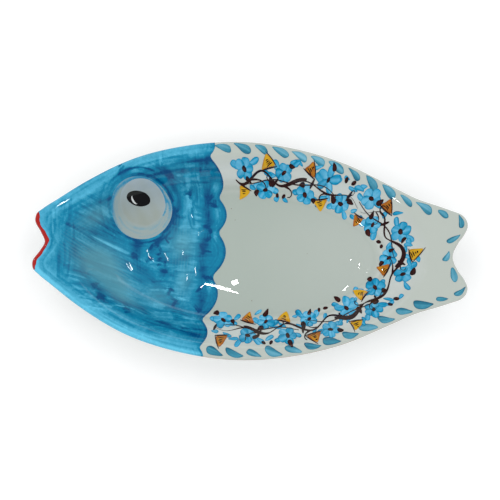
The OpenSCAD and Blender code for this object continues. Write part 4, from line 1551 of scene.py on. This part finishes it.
def makeBuds():
    rng = np.random.default_rng(bud["seed"])
    buds, hatching = newPaint(), newPaint()
    for k in blossoms:
        if k % 3 == 2:
            continue
        place = garlandPlace(shareOf(k), bud["side"] * sideOf(k))
        angle = headingAt(shareOf(k)) - math.pi / 2 * sideOf(k) + math.radians(25 * waver(k + 2))
        corners = budCorners(rng)
        loop, load = softened(evenLoop(corners, 0.5), 4), bud["loads"][k % 4 // 2]
        addTouch(buds, loop, place, angle, layers["buds"], load, rng)
        # strokes across it, shorter towards its point, at a slant of their own
        slant, gap = angle + rng.uniform(-0.5, 0.5), rng.uniform(1.5, 2.1)
        for line in range(3 + k % 2):
            x = -3.1 + gap * line + rng.uniform(-0.3, 0.3)
            half = max(bud["hatch"] - 0.62 * line + rng.uniform(-0.5, 0.4), 0.8)
            middle = (x + rng.uniform(0.2, 1.2), rng.uniform(-0.5, 0.5))
            path = turned(curvedPath((x, -half), middle, (x + 0.3, half)), slant) + place
            press = rng.uniform(*bud["hatchWidth"]) * pressed(0.4, 2.8, 9) + 0.15
            addLine(hatching, path, press, layers["hatching"], 0.5)
        # one or two sides drawn round, past the corners
        for first, last, thick in ((2, 4, 1.3), (4, 6, 0.8))[:1 + k % 2]:
            along = corners[[first, (first + last) // 2, last % 6]] * [[1.1], [1.16], [1.16]]
            path = curvedPath(*turned(along, angle) + place, steps=14)
            addLine(hatching, path, thick * pressed(0.3, 2.9, 14) + 0.2, layers["hatching"], 0.5)
    paintPiece("bud_touches", buds, "ochrePaint", "ochre_paint", "buds")
    paintPiece("bud_hatching", hatching, "brownPaint", "brown_paint")


berry = {
    "seed": 71,
    "radius": 1.8,
    "shape": (1.35, 0.9),
    "beside": 0.17,  # how far before and after its place, in blossoms
    "side": -1.4,
}


def makeBerries():
    rng = np.random.default_rng(berry["seed"])
    store = newPaint()
    for k in blossoms[2::3]:
        for shift in (-berry["beside"], berry["beside"]):
            place = garlandPlace(shareOf(k) + shift / len(blossoms), berry["side"] * sideOf(k))
            size = 2 * berry["radius"] * np.array(berry["shape"]) * rng.uniform(0.9, 1.25)
            loop = evenLoop(handOval(np.zeros(2), size, 0.16, k + shift * 9, 32), 0.5)
            addTouch(store, loop, place, rng.uniform(0, math.pi), layers["berries"], 0.5, rng)
    paintPiece("berry_dots", store, "brownPaint", "brown_paint", "berries")


makeBlossoms()
makeVine()
makeLeaves()
makeBuds()
makeBerries()


# The stage

stage = {
    "floorHalf": 12.0,
    "floorGlow": (0.45, 2.2, 0.25, 1.0),  # from and to this far out, the glow rises from this to that
    "floorWhite": sRgb(236, 237, 238),
    "worldStrength": 0.65,
    "worldMirrored": 0.2,  # as much of the world is mirrored by the glaze, as by the light of a dim room
    "lampAim": (0, 0, 0.03),
    "lamps": [
        {"place": (-0.9, 0.8, 1.45), "size": 1.2, "power": 5.3},
        {"place": (0.9, 0.8, 1.45), "size": 1.2, "power": 4.6},
        {"place": (-0.9, -0.8, 1.45), "size": 1.2, "power": 4.6},
        {"place": (0.9, -0.8, 1.45), "size": 1.2, "power": 4.6},
        # a long low lamp behind, for the sheen that the glaze shows from the front
        {"place": (0.0, 1.25, 0.95), "size": 1.5, "high": 0.4, "power": 2.0, "mirrored": True},
    ],
    "camera": {"distance": 1.153, "elevation": 80.3, "roll": 2.18, "aim": (-0.0005, -0.0005, 0.043),
               "lens": 83.6, "sensor": 36},
}

# Streaks of light on the glaze. Each is the mirror image of a lamp that stands "far" metres off. A row says
# from which place on the plan to which, how wide, and how far from its middle the lamp lights the glaze, all
# in millimetres. A fifth number is its own distance and a sixth the side of a square lamp, in metres
glints = {
    "shine": 60,
    "far": 0.35,
    "streaks": [
        ((-49.5, -35.5), (-44.5, -31.5), 0.5, 9),
        ((-45, -31.7), (-31.5, -33.5), 1.7, 16),
        ((-33.5, -33.3), (-18, -37.3), 2.8, 18),
        ((-20, -37), (-11, -40.5), 1, 12),
        ((-17.5, -30.5), (-11, -27.5), 4.5, 14),
        ((110, 35.5), (115, 35.5), 5, None, 1.4, 0.06),
        ((111.5, -4.5), (111.5, -9.5), 0.8, 12),
        ((102.5, 0), (103.5, -3), 0.5, 9),
        ((93.5, -33.5), (100, -27.5), 0.3, 14),
        ((-195, 34.8), (-182.5, 44.2), 0.6, 25, 1.0),
        ((175, -11.5), (172, -19), 0.8, None, 1.4, 0.04),
        ((-106, 1), (-102, -7.5), 0.35, 14),
        ((-123, -12.5), (-119.5, -20), 0.5, 14),
        ((-64, -23), (-63.5, -30), 0.3, 12),
        ((-56, -15), (-54.5, -22.5), 0.25, 11),
        ((-63, 39.5), (-59, 36), 0.3, 11),
        ((-51.5, 27.5), (-50.5, 22.5), 0.2, 10),
        ((-54.5, 21.5), (-54, 19.5), 0.5, 8),
        ((-87, -1), (-83, -9.5), 0.22, 12),
        ((-99, -7.5), (-99, -9.5), 0.4, 8),
        ((-69.5, 1.5), (-69, -2.5), 0.35, 9),
    ],
}


# 1 for the rays that show the backdrop: those of the camera, and what gloss and glass mirror or let through
def seenRays(tree):
    path = addNode(tree, "LightPath", (-600, -200)).outputs
    seen = mathNode(tree, "MAXIMUM", (-400, -200), path["Is Camera Ray"], path["Is Glossy Ray"])
    return mathNode(tree, "MAXIMUM", (-250, -200), seen, path["Is Transmission Ray"])


def makeFloor():
    half = stage["floorHalf"]
    mesh = bpy.data.meshes.new("studio_floor")
    corners = [(-half, -half, 0), (half, -half, 0), (half, half, 0), (-half, half, 0)]
    mesh.from_pydata(corners, [], [(0, 1, 2, 3)])
    material, tree, shader = newMaterial("studioFloor")
    shader.inputs["Base Color"].default_value = stage["floorWhite"]
    shader.inputs["Roughness"].default_value = 0.9
    shader.inputs["Specular IOR Level"].default_value = 0.0
    # the glow that makes the backdrop white grows where the light of the lamps runs out
    at = addNode(tree, "TexCoord", (-1000, -400)).outputs["Object"]
    reach = addNode(tree, "VectorMath", (-800, -400), operation="LENGTH")
    tree.links.new(at, reach.inputs[0])
    far = addNode(tree, "MapRange", (-600, -400), interpolation_type="SMOOTHSTEP",
                  Value=reach.outputs["Value"])
    for socket, value in zip(("From Min", "From Max", "To Min", "To Max"), stage["floorGlow"]):
        far.inputs[socket].default_value = value
    strength = mathNode(tree, "MULTIPLY", (-100, -300), seenRays(tree), far.outputs["Result"])
    glow = addNode(tree, "Emission", (0, -200), Color=(1, 1, 1, 1), Strength=strength)
    both = addNode(tree, "AddShader", (400, 0))
    tree.links.new(shader.outputs[0], both.inputs[0])
    tree.links.new(glow.outputs[0], both.inputs[1])
    tree.links.new(both.outputs[0], tree.nodes["Material Output"].inputs["Surface"])
    mesh.materials.append(material)
    addObject("studio_floor", mesh)


def areaLamp(name, wide, high, power):
    light = bpy.data.lights.new(name, "AREA")
    light.shape, light.size, light.size_y = "RECTANGLE", wide, high
    light.energy = power
    return addObject(name, light)


# A soft lamp that lights the colours, or one that is only mirrored
def makeLamp(name, place, size, power, high=None, mirrored=False):
    lamp = areaLamp(name, size, high or size, power)
    lamp.location = place
    lamp.rotation_euler = (Vector(stage["lampAim"]) - Vector(place)).to_track_quat("-Z", "Y").to_euler()
    lamp.visible_glossy, lamp.visible_diffuse, lamp.visible_camera = mirrored, not mirrored, False


# The camera's place, and the ways that it looks back along, across and up
def cameraStand():
    view = stage["camera"]
    lift, roll = math.radians(view["elevation"]), math.radians(view["roll"])
    behind = Vector((0, -math.cos(lift), math.sin(lift)))
    right, up = Vector((1, 0, 0)), Vector((0, math.sin(lift), math.cos(lift)))
    across = right * math.cos(roll) + up * math.sin(roll)
    upward = up * math.cos(roll) - right * math.sin(roll)
    return Vector(view["aim"]) + behind * view["distance"], behind, across, upward


def glazePoint(plan):
    return Vector(surfacePoint(plan[None])[0] * mm)


# Where a lamp stands that the glaze mirrors to the camera from a place on the plan
def mirroredFrom(plan, far):
    point, normal = glazePoint(plan), Vector(surfaceNormal(plan[None])[0])
    toEye = (cameraStand()[0] - point).normalized()
    return point + far * (2 * normal.dot(toEye) * normal - toEye)


# Stands an object at a place, with its own axes turned these ways
def stood(thing, place, *axes):
    thing.matrix_world = Matrix.Translation(place) @ Matrix(axes).transposed().to_4x4()


# A lamp that gives no light of its own to the colours and is only mirrored
def makeGlint(name, start, end, wide, reach, far=glints["far"], side=None):
    start, end = np.array(start, float), np.array(end, float)
    middle, way = (start + end) / 2, (end - start) / lengths(end - start)
    aside = np.array([-way[1], way[0]]) * wide / 2
    along = mirroredFrom(end, far) - mirroredFrom(start, far)
    height = (mirroredFrom(middle + aside, far) - mirroredFrom(middle - aside, far)).length
    lamp = areaLamp(name, side or along.length, side or height, 0)
    light = lamp.data
    light.energy = glints["shine"] * math.pi * light.size * light.size_y
    if reach:  # a narrow beam is brighter at its middle by this share, so the lamp gives less
        half = math.atan(reach * mm / far)
        light.spread = 2 * half
        light.energy *= 1 - half / math.tan(half)
    place = mirroredFrom(middle, far)
    back = (place - glazePoint(middle)).normalized()
    across = (along - back * along.dot(back)).normalized()
    stood(lamp, place, across, back.cross(across), back)
    lamp.visible_diffuse = lamp.visible_camera = False


def makeCamera():
    place, behind, across, upward = cameraStand()
    data = bpy.data.cameras.new("camera")
    data.lens, data.sensor_width = stage["camera"]["lens"], stage["camera"]["sensor"]
    camera = addObject("camera", data)
    stood(camera, place, across, upward, behind)
    bpy.context.scene.camera = camera


def makeWorld():
    world = bpy.data.worlds.new("studio")
    world.use_nodes = True
    tree = world.node_tree
    backdrop = tree.nodes["Background"]
    backdrop.inputs["Color"].default_value = (1, 1, 1, 1)
    # white where the camera looks past the floor; the glaze mirrors it faintly, as a dim room
    path = addNode(tree, "LightPath", (-800, 0)).outputs
    full, dim = stage["worldStrength"], stage["worldMirrored"]
    mirrored = mathNode(tree, "MAXIMUM", (-600, -100), path["Is Glossy Ray"], path["Is Transmission Ray"])
    strength = mathNode(tree, "MULTIPLY_ADD", (-400, -100), mirrored, dim - full, full)
    strength = mathNode(tree, "MAXIMUM", (-200, 0), strength, path["Is Camera Ray"])
    tree.links.new(strength, backdrop.inputs["Strength"])
    bpy.context.scene.world = world
    bpy.context.scene.view_settings.view_transform = "Standard"


makeFloor()
makeWorld()
makeCamera()
for number, lamp in enumerate(stage["lamps"]):
    makeLamp(f"lamp_{number}", **lamp)
for number, streak in enumerate(glints["streaks"]):
    makeGlint(f"glint_{number}", *streak)
print("stage made")
